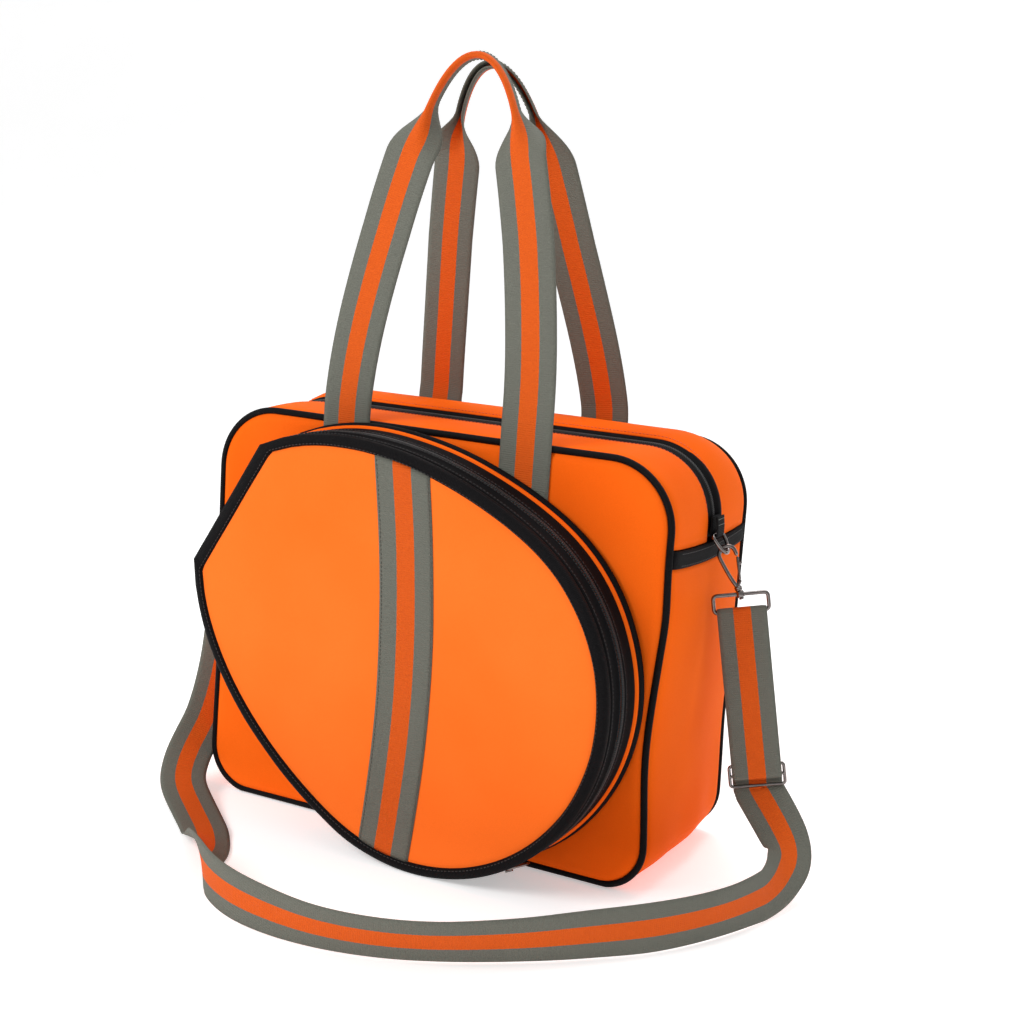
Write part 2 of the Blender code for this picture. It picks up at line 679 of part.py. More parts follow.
def build_ring(side, label, binding, metal):
    """A D-ring in a webbing tab sewn over the end of the main zip."""
    inner = BAG_WIDTH / 2 + BAND_PROUD + CLEARANCE
    edges = sorted((side * inner, side * (inner + TAB_THICKNESS)))
    bottom = BAG_HEIGHT - TAB_DROP
    tab = box((edges[0], -TAB_WIDTH / 2, bottom), (edges[1], TAB_WIDTH / 2, bottom + TAB_HEIGHT))
    bevel_edges(tab, 0.0012)
    tab = add_object("ring_tab_" + label, tab, binding, smooth_angle=40)
    pivot = Vector((side * RING_PIVOT_X, 0, RING_PIVOT_Z))
    reach = Vector((0, TAB_WIDTH, 0))
    bore = bmesh.new()
    cylinder(bore, pivot - reach, pivot + reach, RING_WIRE + RING_CLEARANCE)
    combine(tab, add_object("bore", bore, binding), "DIFFERENCE")

    down = ring_direction(side)
    corner = 0.0018
    flat = [(-RING_HALF_WIDTH + corner, 0), (0, 0), (RING_HALF_WIDTH - corner, 0)]
    bow = [(RING_HALF_WIDTH * cos(a), RING_DROP * sin(a)) for a in (radians(8 + 164 * k / 20) for k in range(21))]
    path = [pivot + Vector((0, y, 0)) + down * drop for y, drop in flat + bow]
    add_object("d_ring_" + label, tube(path, RING_WIRE, 8, closed=True), metal, pivot, smooth_angle=50)


def hook_frame(side):
    """The hook hangs on the D-ring: its origin is the top of its bow."""
    if side > 0:
        down = Vector((sin(radians(24)), 0, -cos(radians(24))))
        across = (0.94, 0.34, 0)
    else:
        down = Vector((-0.25, -0.20, -0.95)).normalized()
        across = (0.90, 0.44, 0)
    ring_end = Vector((side * RING_PIVOT_X, 0, RING_PIVOT_Z)) + ring_direction(side) * RING_DROP
    return Frame(ring_end - down * (RING_WIRE + HOOK_WIRE + RING_PLAY), down, across)


def loop_frame(side):
    """The loop's origin is the middle of its lower bar; it lies in the strap's plane."""
    hook = hook_frame(side)
    top_bar = hook.at(down=HOOK_LENGTH + BARREL_HEIGHT + BOSS_GAP + BOSS_HEIGHT / 2)
    down = Vector((sin(radians(11)), 0, -cos(radians(11)))) if side > 0 else Vector((-0.12, -0.28, -0.95))
    down.normalize()
    return Frame(top_bar + down * LOOP_HEIGHT, down, hook.across)


def build_hook(side, label, metal):
    hook = hook_frame(side)
    w, n = HOOK_HALF_WIDTH, HOOK_LENGTH
    body = [(-0.0006, n + 0.0005), (-0.0012, n - 0.0012), (-0.6 * w, n - 0.0052), (-0.95 * w, n - 0.010),
            (-w, 0.60 * n), (-w, 0.28 * n), (-0.82 * w, 0.0030), (-0.45 * w, 0.0005), (0, 0),
            (0.45 * w, 0.0005), (0.82 * w, 0.0030), (0.98 * w, 0.0080)]
    path = [hook.at(across, down) for across, down in body]
    obj = add_object("hook_" + label, tube(path, HOOK_WIRE, 8, hint=hook.out), metal, hook.at(), smooth_angle=50)
    top = n
    parts = ((top, BARREL_HEIGHT, BARREL_RADIUS),
             (top + BARREL_HEIGHT - 0.0004, BOSS_HEIGHT + 2 * BOSS_GAP + 0.0008, SHANK_RADIUS),
             (top + BARREL_HEIGHT + 2 * BOSS_GAP + BOSS_HEIGHT, SHANK_HEAD_HEIGHT, SHANK_HEAD_RADIUS))
    for start, height, radius in parts:
        bm = bmesh.new()
        cylinder(bm, hook.at(down=start), hook.at(down=start + height), radius, 14)
        combine(obj, add_object("part", bm, metal), "UNION")

    pivot_down = n - 0.0052
    pivot_across = 0.62 * w
    gate = [(pivot_across, pivot_down), (0.93 * w, n - 0.0090), (1.02 * w, 0.60 * n), (1.02 * w, 0.42 * n),
            (0.98 * w, 0.0112)]
    path = [hook.at(across, down) for across, down in gate]
    gate_pivot = hook.at(pivot_across, pivot_down)
    add_object("gate_" + label, tube(path, GATE_WIRE, 8, hint=hook.out), metal, gate_pivot, smooth_angle=50)


def build_loop(side, label, metal):
    loop = loop_frame(side)
    half, height, corner = LOOP_HALF_WIDTH, LOOP_HEIGHT, LOOP_CORNER
    outline = []
    for cx, cz, start in ((half - corner, -corner, 0), (half - corner, -height + corner, 270),
                          (-half + corner, -height + corner, 180), (-half + corner, -corner, 90)):
        outline += arc((cx, cz), corner, start + 90, start, 4)
    path = [loop.at(across, down) for across, down in outline]
    obj = add_object("strap_loop_" + label, tube(path, LOOP_WIRE, 8, closed=True, hint=loop.out), metal,
                     loop.at(), smooth_angle=50)
    hook = hook_frame(side)
    start = HOOK_LENGTH + BARREL_HEIGHT + BOSS_GAP
    boss = bmesh.new()
    cylinder(boss, hook.at(down=start), hook.at(down=start + BOSS_HEIGHT), BOSS_RADIUS)
    combine(obj, add_object("boss", boss, metal), "UNION")
    bore = bmesh.new()
    reach = BOSS_HEIGHT
    cylinder(bore, hook.at(down=start - reach), hook.at(down=start + 2 * reach), SHANK_RADIUS + SHANK_CLEARANCE)
    combine(obj, add_object("bore", bore, metal), "DIFFERENCE")


def wrap_stations(loop, start, end, steps=8):
    """Webbing round the loop's lower bar, from one angle to another; 0 is in front, 90 on top."""
    angles = [radians(start + (end - start) * k / steps) for k in range(steps + 1)]
    return [(loop.at(0, -WRAP_RADIUS * sin(a), WRAP_RADIUS * cos(a)), loop.across) for a in angles]


def lift_off_floor(stations):
    """Raise each station so that neither edge of the webbing goes below the floor."""
    points = [point for point, _ in stations]
    lifted = []
    for index, (point, across) in enumerate(stations):
        tangent = (points[min(index + 1, len(points) - 1)] - points[max(index - 1, 0)]).normalized()
        level = (across - tangent * across.dot(tangent)).normalized()
        needed = abs(level.z) * WEBBING_WIDTH / 2 + WEBBING_THICKNESS / 2 + FLOOR_GAP
        lifted.append((Vector((point.x, point.y, max(point.z, needed))), across))
    return lifted


def beside_bag(point):
    """A point of the route, moved with the bag's sides and front and with the webbing's width."""
    wider = max(0.0, WEBBING_WIDTH - ROUTE_WEBBING_WIDTH)
    aside = (BAG_WIDTH - ROUTE_BAG_WIDTH) / 2 + wider / 2
    ahead = (BAG_DEPTH - ROUTE_BAG_DEPTH) / 2 + wider / 2
    share = max(-1.0, min(1.0, 2 * point[0] / ROUTE_BAG_WIDTH))
    front = max(0.0, min(1.0, -2 * point[1] / ROUTE_BAG_DEPTH))
    return Vector((point[0] + aside * share, point[1] - ahead * front, point[2]))


def build_strap(webbing):
    left, right = loop_frame(-1), loop_frame(1)
    stations = [(left.at(0, SEWN_TAIL, WRAP_RADIUS), left.across)]
    stations += wrap_stations(left, 0, 180)
    start = (left.at(0, SEWN_TAIL, -WRAP_RADIUS), left.across)
    end_down = ADJUSTER_DROP + ADJUSTER_PITCH + 0.004
    end = (right.at(0, end_down, -WRAP_RADIUS), right.across)
    control = [start] + [(beside_bag(point), Vector(across)) for point, across in STRAP_ROUTE] + [end]
    route = smooth_route([point for point, _ in control], [across for _, across in control], ROUTE_STEP)
    stations += lift_off_floor(route)
    stations += wrap_stations(right, 180, 96, 5)
    add_object("shoulder_strap", ribbon(stations, WEBBING_WIDTH, WEBBING_THICKNESS), webbing)

    turn = [(right.at(0, ADJUSTER_DROP + BAR_WRAP_RADIUS * sin(a), ADJUSTER_NORMAL + BAR_WRAP_RADIUS * cos(a)),
             right.across) for a in (radians(180 * k / 8) for k in range(9))]
    tail = (right.at(0, ADJUSTER_DROP - RETURN_TAIL, ADJUSTER_NORMAL - BAR_WRAP_RADIUS), right.across)
    over_bar = (right.at(0, ADJUSTER_DROP - ADJUSTER_PITCH - 2 * ADJUSTER_BAR,
                         ADJUSTER_NORMAL + BAR_WRAP_RADIUS), right.across)
    stations = wrap_stations(right, 84, 0, 5) + [over_bar] + turn + [tail]
    add_object("strap_return", ribbon(stations, WEBBING_WIDTH, WEBBING_THICKNESS), webbing)


def build_adjuster(metal):
    """A three-bar slide: an outer frame and a middle bar that the strap's end is sewn round."""
    frame = loop_frame(1)
    half = WEBBING_WIDTH / 2 + ADJUSTER_SIDE_GAP + 2 * ADJUSTER_BAR
    reach = ADJUSTER_PITCH + ADJUSTER_BAR
    rows = [-reach, -ADJUSTER_PITCH + ADJUSTER_BAR, -ADJUSTER_BAR, ADJUSTER_BAR,
            ADJUSTER_PITCH - ADJUSTER_BAR, reach]
    columns = [-half, -half + 2 * ADJUSTER_BAR, half - 2 * ADJUSTER_BAR, half]
    bm = bmesh.new()
    grid = [[bm.verts.new(frame.at(u, ADJUSTER_DROP + v, ADJUSTER_NORMAL - ADJUSTER_BAR)) for u in columns]
            for v in rows]
    for row in range(5):
        for column in range(3):
            if row in (1, 3) and column == 1:
                continue
            bm.faces.new((grid[row][column], grid[row][column + 1],
                          grid[row + 1][column + 1], grid[row + 1][column]))
    lifted = bmesh.ops.extrude_face_region(bm, geom=bm.faces[:])
    moved = [item for item in lifted["geom"] if isinstance(item, bmesh.types.BMVert)]
    bmesh.ops.translate(bm, verts=moved, vec=frame.out * 2 * ADJUSTER_BAR)
    bmesh.ops.recalc_face_normals(bm, faces=bm.faces[:])
    sharp = [edge for edge in bm.edges if edge.calc_face_angle(0) > radians(30)]
    bmesh.ops.bevel(bm, geom=sharp, offset=0.0007, segments=2, affect="EDGES", profile=0.5)
    pivot = frame.at(0, ADJUSTER_DROP, ADJUSTER_NORMAL)
    add_object("strap_adjuster", bm, metal, pivot, smooth_angle=40)


# ---------------------------------------------------------------- the whole case

def main():
    clear_scene()
    fabric = make_material("orange_neoprene", (1.0, 0.22, 0.03), 0.75)
    binding = make_material("black_binding", (0.012, 0.010, 0.012), 0.70)
    tape = make_material("black_zip", (0.015, 0.013, 0.014), 0.65)
    webbing = make_material("striped_webbing", (0.15, 0.16, 0.14), 0.80)
    metal = make_material("gunmetal", (0.06, 0.055, 0.055), 0.28, 0.9)
    build_panels(fabric)
    build_gussets(fabric, binding)
    build_piping(binding)
    build_main_zip(tape, metal)
    build_pocket(fabric, tape, binding, webbing, metal)
    build_handle("front_handle", -1, FRONT_HANDLE, webbing)
    build_handle("rear_handle", 1, REAR_HANDLE, webbing)
    for side, label in ((1, "right"), (-1, "left")):
        build_ring(side, label, binding, metal)
        build_hook(side, label, metal)
        build_loop(side, label, metal)
    build_adjuster(metal)
    build_strap(webbing)


main()
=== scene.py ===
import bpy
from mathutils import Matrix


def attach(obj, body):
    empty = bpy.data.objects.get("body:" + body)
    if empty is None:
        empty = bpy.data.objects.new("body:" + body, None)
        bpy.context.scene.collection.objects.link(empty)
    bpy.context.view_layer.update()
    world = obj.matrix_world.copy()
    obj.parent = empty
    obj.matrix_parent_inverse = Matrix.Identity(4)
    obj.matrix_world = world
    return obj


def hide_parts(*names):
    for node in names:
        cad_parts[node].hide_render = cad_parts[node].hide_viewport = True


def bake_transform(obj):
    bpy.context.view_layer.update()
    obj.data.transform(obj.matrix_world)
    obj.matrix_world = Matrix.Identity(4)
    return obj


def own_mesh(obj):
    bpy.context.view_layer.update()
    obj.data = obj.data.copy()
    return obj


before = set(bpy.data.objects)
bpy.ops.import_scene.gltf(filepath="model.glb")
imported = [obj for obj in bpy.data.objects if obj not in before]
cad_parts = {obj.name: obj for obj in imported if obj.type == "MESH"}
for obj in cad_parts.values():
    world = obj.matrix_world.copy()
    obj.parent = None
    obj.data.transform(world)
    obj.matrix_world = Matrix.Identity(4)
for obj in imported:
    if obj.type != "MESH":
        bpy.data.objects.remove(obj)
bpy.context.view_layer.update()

from math import cos, pi, radians, sin, sqrt

import bmesh
import bpy
import numpy as np
from mathutils import Matrix, Vector, noise

# ---------------------------------------------------------------- sizes, as in the CAD (metres)

BAG_WIDTH, BAG_DEPTH, BAG_HEIGHT = 0.420, 0.170, 0.345
TOP_RADIUS, BOTTOM_RADIUS = 0.055, 0.040
PIPING_RADIUS = 0.0027
GAP = 0.0003
GUSSET_EDGE = BAG_DEPTH / 2 - 2 * PIPING_RADIUS - GAP
BAND_TOP = 0.278
BAND_BOTTOM = 0.2645
BAND_SAG = 0.004
ZIP_OPENING = 0.00785
REAR_LIP = 0.0034
TEETH_HALF = 0.00225
TAPE_EDGE = TEETH_HALF + GAP

HEAD_RADIUS, HEAD_LENGTH, THROAT_LENGTH = 0.156, 0.2436, 0.2245
HEAD_X, HEAD_Z = 0.039, 0.1568
AXIS_TILT = radians(-31)
POCKET_BACK = -BAG_DEPTH / 2 - 0.0026
POCKET_FRONT = POCKET_BACK - 0.0637
FACE_FRONT = POCKET_FRONT + 0.0010

WEBBING, WEBBING_THICK = 0.0395, 0.0018
HINGE_Y, HINGE_Z = 0.0885, 0.349
WEBBING_Y = 0.0862
HANDLE_WEBBING, GRIP_NARROWING = 0.0445, 0.16
HANDLE_FOOT, GRIP_HEIGHT, GRIP_ARCH = 0.0825, 0.060, radians(36)
FOLD_LENGTH, GRIP_TURN = 0.045, 0.30
# height, lean, half the grip's width, how late the legs close in, sideways shift of feet and of grip
FRONT_HANDLE = (0.292, 0.027, 0.0435, 1.8, 0.0, 0.003)
REAR_HANDLE = (0.299, 0.082, 0.040, 1.25, -0.010, -0.013)
ANCHOR_BOTTOM = 0.263

RING_PIVOT_X, RING_PIVOT_Z = 0.2147, 0.280
RING_WIRE, RING_HALF, RING_DROP, RING_TILT = 0.0014, 0.0112, 0.017, radians(35)
HOOK_WIRE, HOOK_HALF, HOOK_LENGTH = 0.0016, 0.0068, 0.033
GATE_WIRE = 0.0011
RING_PLAY = 0.0021
BARREL_HEIGHT, BOSS_GAP, BOSS_HEIGHT = 0.0035, 0.0004, 0.0052
LOOP_WIRE, LOOP_HEIGHT, LOOP_CORNER = 0.0016, 0.014, 0.003
LOOP_HALF = WEBBING / 2 + 0.0005 + LOOP_WIRE
WRAP_RADIUS = LOOP_WIRE + GAP + WEBBING_THICK / 2
ADJUSTER_DROP, ADJUSTER_BAR, ADJUSTER_PITCH = 0.133, 0.0013, 0.0085
BAR_WRAP = ADJUSTER_BAR + GAP + WEBBING_THICK / 2
ADJUSTER_NORMAL = -WRAP_RADIUS + 1.5 * WEBBING_THICK + 2 * GAP + ADJUSTER_BAR
SEWN_TAIL, RETURN_TAIL, FLOOR_GAP = 0.026, 0.005, 0.0004

# How thick the cloth is drawn, how deep it dips at its seams, and how finely the outlines are stepped
CLOTH, FACE_CLOTH, STRIP_CLOTH, TAPE_CLOTH, STRIPE_CLOTH = 0.0042, 0.0038, 0.0020, 0.0022, 0.0010
SEAM_TUCK = 0.0026
PANEL_STEP, ZIP_STEP, GUSSET_STEP, WALL_STEP, STRAP_STEP = 0.0045, 0.0050, 0.0055, 0.0060, 0.0060
WALL_SWAY, OUTER_SEED, INNER_SEED = 0.0005, 31.0, 32.0
STRIPE_WIDTH = 0.048
BOX_TOP, BOX_LOW = 0.3090, 0.2655  # of the stitching on the handles' ends

# The strap's middle line from the left loop to the adjuster, and the way its width points
STRAP_ROUTE = [
    ((-0.2385, -0.024, 0.172), (0.86, 0.50, 0.00)),
    ((-0.2320, -0.038, 0.124), (0.84, 0.54, 0.00)),
    ((-0.2295, -0.051, 0.086), (0.78, 0.62, 0.00)),
    ((-0.2270, -0.070, 0.054), (0.68, 0.73, 0.00)),
    ((-0.2250, -0.095, 0.031), (0.64, 0.77, 0.00)),
    ((-0.2100, -0.123, 0.013), (0.80, 0.60, 0.00)),
    ((-0.1740, -0.152, 0.004), (0.84, 0.54, 0.00)),
    ((-0.1410, -0.182, 0.004), (0.83, 0.55, -0.05)),
    ((-0.1150, -0.213, 0.006), (0.76, 0.48, -0.40)),
    ((-0.0950, -0.245, 0.014), (0.40, 0.26, -0.88)),
    ((-0.0720, -0.273, 0.019), (0.05, 0.03, -1.00)),
    ((-0.0430, -0.294, 0.020), (0.00, 0.00, -1.00)),
    ((0.0020, -0.307, 0.020), (0.00, 0.10, -0.99)),
    ((0.0520, -0.309, 0.019), (0.00, 0.30, -0.95)),
    ((0.1000, -0.297, 0.018), (0.05, 0.42, -0.90)),
    ((0.1450, -0.273, 0.016), (0.18, 0.52, -0.82)),
    ((0.1850, -0.242, 0.016), (0.20, 0.50, -0.84)),
    ((0.2210, -0.207, 0.018), (0.10, 0.28, -0.95)),
    ((0.2560, -0.168, 0.019), (0.00, 0.05, -1.00)),
    ((0.2840, -0.122, 0.019), (-0.06, 0.02, -1.00)),
    ((0.3010, -0.072, 0.020), (0.15, 0.02, -0.98)),
    ((0.3050, -0.032, 0.027), (0.60, 0.15, -0.75)),
    ((0.2990, -0.008, 0.042), (0.86, 0.28, -0.30)),
]


# ---------------------------------------------------------------- materials

class Nodes:
    """A material's node tree, with short ways to add nodes and join them."""

    def __init__(self, name):
        self.material = bpy.data.materials.new(name)
        self.material.use_nodes = True
        self.tree = self.material.node_tree
        self.shader = self.tree.nodes["Principled BSDF"]

    def add(self, kind, output=0, settings=None, **inputs):
        node = self.tree.nodes.new("ShaderNode" + kind)
        for key, value in (settings or {}).items():
            setattr(node, key, value)
        for key, value in inputs.items():
            socket = node.inputs[int(key[1:])] if key[0] == "i" and key[1:].isdigit() else node.inputs[key]
            self.put(socket, value)
        return node.outputs[output]

    def put(self, socket, value):
        if isinstance(value, bpy.types.NodeSocket):
            self.tree.links.new(value, socket)
        else:
            socket.default_value = value

    def math(self, operation, a, b=0.0):
        return self.add("Math", settings={"operation": operation}, i0=a, i1=b)

    def scaled(self, value, factor, offset):
        return self.math("ADD", self.math("MULTIPLY", value, factor), offset)

    def noise(self, scale, detail=2.0):
        return self.add("TexNoise", Vector=self.place(), Scale=scale, Detail=detail)

    def place(self):
        return self.add("TexCoord", output=3)

    def weave(self):
        """(across, along) in metres, from the piece's own weave map."""
        both = self.add("UVMap", settings={"uv_map": "weave"})
        split = self.tree.nodes.new("ShaderNodeSeparateXYZ")
        self.tree.links.new(both, split.inputs[0])
        return split.outputs[0], split.outputs[1]

    def ramp(self, factor, low, high):
        return self.add("MapRange", Value=factor, **{"From Min": low, "From Max": high})

    def mix(self, factor, a, b):
        node = self.tree.nodes.new("ShaderNodeMix")
        node.data_type = "RGBA"
        self.put(node.inputs[0], factor)
        self.put(node.inputs[6], a)
        self.put(node.inputs[7], b)
        return node.outputs[2]

    def bump(self, height, distance, strength=1.0, normal=None):
        inputs = {"Height": height, "Distance": distance, "Strength": strength}
        if normal is not None:
            inputs["Normal"] = normal
        return self.add("Bump", **inputs)

    def finish(self, colour, roughness, normal=None, **extra):
        self.put(self.shader.inputs["Base Color"], colour)
        self.put(self.shader.inputs["Roughness"], roughness)
        if normal is not None:
            self.put(self.shader.inputs["Normal"], normal)
        for key, value in extra.items():
            self.shader.inputs[key.replace("_", " ")].default_value = value
        return self.material


def rgb(red, green, blue):
    """A shader colour from display values, 0 to 255."""
    out = []
    for value in (red, green, blue):
        value /= 255
        out.append(value / 12.92 if value <= 0.04045 else ((value + 0.055) / 1.055) ** 2.4)
    return (*out, 1.0)


def make_neoprene(name, colour, shade):
    m = Nodes(name)
    patch = m.ramp(m.noise(7.0, 3.0), 0.3, 0.7)
    speck = m.ramp(m.noise(1500.0, 2.0), 0.25, 0.75)
    base = m.mix(patch, colour, shade)
    fine = m.mix(m.math("MULTIPLY", speck, 0.22), base, (shade[0] * 0.72, shade[1] * 0.66, shade[2] * 0.6, 1))
    knit = m.add("TexVoronoi", Vector=m.place(), Scale=950.0)
    normal = m.bump(knit, 0.00012, 0.45, m.bump(m.noise(60.0, 3.0), 0.0006, 0.35))
    return m.finish(fine, m.scaled(speck, 0.12, 0.56), normal, Specular_IOR_Level=0.02)


def make_webbing(name, stripe_half, bright=1.0):
    """Ribbed webbing: grey sides, an orange stripe down the middle, ribs across its width."""
    m = Nodes(name)
    across, along = m.weave()
    wander = m.math("MULTIPLY", m.math("SUBTRACT", m.noise(900.0, 1.0), 0.5), 0.0006)
    stripe = m.math("LESS_THAN", m.math("ADD", m.math("ABSOLUTE", across), wander), stripe_half)
    rib = m.math("SINE", m.math("MULTIPLY", along, 2 * pi / 0.0017))
    warp = m.math("SINE", m.math("MULTIPLY", across, 2 * pi / 0.0013))
    cell = m.math("MULTIPLY", rib, warp)
    speck = m.ramp(m.noise(1700.0, 2.0), 0.3, 0.72)
    tone = m.ramp(cell, -1.0, 1.0)
    dark = m.math("MULTIPLY", m.scaled(speck, 0.6, m.math("MULTIPLY", tone, 0.4)), 0.75)

    def shades(light, deep):
        return m.mix(dark, rgb(*[bright * v for v in light]), rgb(*[bright * v for v in deep]))

    colour = m.mix(stripe, shades((122, 123, 113), (58, 59, 53)), shades((232, 100, 24), (170, 54, 6)))
    height = m.scaled(cell, 0.5, m.math("MULTIPLY", rib, 0.5))
    return m.finish(colour, 0.72, m.bump(height, 0.00028, 0.6), Specular_IOR_Level=0.14)


def make_black(name, level, rib_step, depth, roughness, chevron=False):
    """Black woven tape, with ribs across it or a herringbone."""
    m = Nodes(name)
    across, along = m.weave()
    turn = m.math("MULTIPLY", along, 2 * pi / rib_step)
    if chevron:
        slant = m.math("PINGPONG", across, 0.0022)
        turn = m.math("ADD", turn, m.math("MULTIPLY", slant, 2 * pi / 0.0014))
    speck = m.ramp(m.noise(1300.0, 2.0), 0.3, 0.7)
    colour = m.mix(speck, rgb(level, level - 2, level), rgb(level + 13, level + 12, level + 13))
    normal = m.bump(m.math("SINE", turn), depth, 0.7)
    return m.finish(colour, m.scaled(speck, 0.12, roughness), normal, Specular_IOR_Level=0.07)


def make_coil(name):
    m = Nodes(name)
    speck = m.noise(700.0, 2.0)
    colour = m.mix(speck, rgb(20, 19, 20), rgb(38, 36, 37))
    return m.finish(colour, m.scaled(speck, 0.2, 0.28), m.bump(speck, 0.0001, 0.3), Specular_IOR_Level=0.5)


def make_metal(name):
    m = Nodes(name)
    cloud = m.noise(160.0, 3.0)
    colour = m.mix(cloud, rgb(88, 84, 84), rgb(140, 132, 128))
    normal = m.bump(m.noise(2200.0, 2.0), 0.00004, 0.3)
    return m.finish(colour, m.scaled(cloud, 0.14, 0.12), normal, Metallic=1.0)


def make_thread(name, colour, dark):
    m = Nodes(name)
    twist = m.noise(2600.0, 1.0)
    return m.finish(m.mix(twist, colour, dark), 0.6, m.bump(twist, 0.0001, 0.5), Sheen_Weight=0.1)


def make_floor():
    m = Nodes("studio_floor")
    cloud = m.noise(3.0, 3.0)
    colour = m.mix(cloud, rgb(246, 246, 246), rgb(250, 250, 250))
    m.put(m.shader.inputs["Emission Color"], (1.0, 1.0, 1.0, 1.0))
    m.put(m.shader.inputs["Emission Strength"], 0.40)
    return m.finish(colour, 0.75, Specular_IOR_Level=0.1)


NEOPRENE = make_neoprene("orange_neoprene", rgb(251, 107, 24), rgb(246, 97, 15))
FACE_NEOPRENE = make_neoprene("pocket_neoprene", rgb(253, 120, 44), rgb(250, 111, 35))
WEB = make_webbing("striped_webbing", 0.0070)
HANDLE_WEB = make_webbing("handle_webbing", 0.0078)
WEB_WIDE = make_webbing("pocket_stripe_webbing", 0.0080, 0.97)
BINDING = make_black("black_binding", 9, 0.0013, 0.00016, 0.62)
PIPING = make_black("black_piping", 9, 0.0011, 0.00012, 0.55)
TAPE = make_black("black_zip_tape", 7, 0.0012, 0.00014, 0.6, chevron=True)
COIL = make_coil("black_zip_coil")
METAL = make_metal("gunmetal")
THREAD = make_thread("orange_thread", rgb(244, 108, 34), rgb(205, 78, 18))
BLACK_THREAD = make_thread("black_thread", rgb(34, 32, 33), rgb(16, 15, 16))
GREY_THREAD = make_thread("grey_thread", rgb(112, 113, 104), rgb(74, 75, 68))


# ---------------------------------------------------------------- mesh helpers

def place_piece(name, mesh, body, slot, replaces=(), ride=True):
    """Show a mesh as a piece that rides on a body."""
    obj = bpy.data.objects.new(name, mesh)
    bpy.context.scene.collection.objects.link(obj)
    if ride:
        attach(obj, body)
    if replaces:
        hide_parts(*replaces)
    return obj


def add_piece(name, points, faces, material, body, slot, weave=None, **more):
    """A piece from points and faces; weave holds each point's place on the cloth, in metres."""
    mesh = bpy.data.meshes.new(name)
    mesh.from_pydata([tuple(p) for p in points], [], [tuple(int(i) for i in f) for f in faces])
    mesh.validate()
    bm = bmesh.new()
    bm.from_mesh(mesh)
    bmesh.ops.recalc_face_normals(bm, faces=bm.faces[:])
    bm.to_mesh(mesh)
    bm.free()
    if weave is not None:
        layer = mesh.uv_layers.new(name="weave")
        index = np.zeros(len(mesh.loops), np.int32)
        mesh.loops.foreach_get("vertex_index", index)
        layer.data.foreach_set("uv", np.asarray(weave, np.float32)[index].ravel())
    mesh.polygons.foreach_set("use_smooth", [True] * len(mesh.polygons))
    mesh.materials.append(material)
    return place_piece(name, mesh, body, slot, **more)


def grid_faces(rows, columns, wrap_rows=False, wrap_columns=False):
    """Four-sided faces between the points of a rows x columns grid."""
    faces = []
    for r in range(rows if wrap_rows else rows - 1):
        r2 = (r + 1) % rows
        for c in range(columns if wrap_columns else columns - 1):
            c2 = (c + 1) % columns
            faces.append((r * columns + c, r * columns + c2, r2 * columns + c2, r2 * columns + c))
    return faces


def filled_faces(rings, count):
    """Faces of rings of points that close in on one last point."""
    last = (rings - 1) * count
    fan = [(last + k, last + (k + 1) % count, rings * count) for k in range(count)]
    return grid_faces(rings, count, False, True) + fan


def tube_faces(start, rings, sides):
    """Faces of a capped tube whose rings of points begin at start."""
    wall = [tuple(start + i for i in face) for face in grid_faces(rings, sides, False, True)]
    return wall + [tuple(start + ring * sides + k for k in range(sides)) for ring in (0, rings - 1)]


def thicken(obj, thickness):
    """Make a surface a solid sheet, inwards."""
    solid = obj.modifiers.new("thickness", "SOLIDIFY")
    solid.thickness = thickness
    solid.offset = -1.0


def grid_piece(name, grid, material, body, slot, weave=None, thickness=CLOTH, **more):
    """A sheet from a rows x columns array of points."""
    obj = add_piece(name, grid.reshape(-1, 3), grid_faces(*grid.shape[:2]), material, body, slot,
                    None if weave is None else weave.reshape(-1, 2), **more)
    thicken(obj, thickness)
    return obj


def loft_piece(name, grid, material, body, slot, weave=None, closed=False, **more):
    """A closed body from section loops, capped at its ends unless the run itself closes."""
    rows, columns = grid.shape[:2]
    faces = grid_faces(rows, columns, closed, True)
    if not closed:
        faces.append(tuple(range(columns - 1, -1, -1)))
        faces.append(tuple((rows - 1) * columns + c for c in range(columns)))
    return add_piece(name, grid.reshape(-1, 3), faces, material, body, slot,
                     None if weave is None else weave.reshape(-1, 2), **more)


def orient_outward(obj, outward):
    """Turn an open surface so that most of it looks along outward."""
    if sum(face.area * outward(face.center).dot(face.normal) for face in obj.data.polygons) < 0:
        obj.data.flip_normals()
    return obj


def arclength(points):
    steps = np.linalg.norm(np.diff(points, axis=0), axis=1)
    return np.concatenate([[0.0], np.cumsum(steps)])


def resample(points, step=None, count=None):
    """Even points along a polyline."""
    points = np.asarray(points, float)
    reach = arclength(points)
    count = count or max(2, round(reach[-1] / step) + 1)
    goals = np.linspace(0, reach[-1], count)
    return np.stack([np.interp(goals, reach, points[:, k]) for k in range(points.shape[1])], axis=1)


def smooth_curve(points, step):
    """Even points on a Catmull-Rom curve."""
    points = [np.asarray(p, float) for p in points]
    fine = []
    last = len(points) - 1
    for i in range(last):
        p0, p1, p2, p3 = points[max(i - 1, 0)], points[i], points[i + 1], points[min(i + 2, last)]
        for k in range(12):
            t = k / 12
            fine.append(0.5 * (2 * p1 + (p2 - p0) * t + (2 * p0 - 5 * p1 + 4 * p2 - p3) * t ** 2
                               + (3 * p1 - p0 - 3 * p2 + p3) * t ** 3))
    fine.append(points[last])
    return resample(fine, step)


def unit(vectors):
    return vectors / np.linalg.norm(vectors, axis=1)[:, None]


def tangents(points, closed=False):
    """The direction of a path at each of its points."""
    if closed:
        return unit(np.roll(points, -1, axis=0) - np.roll(points, 1, axis=0))
    return unit(np.gradient(points, axis=0))


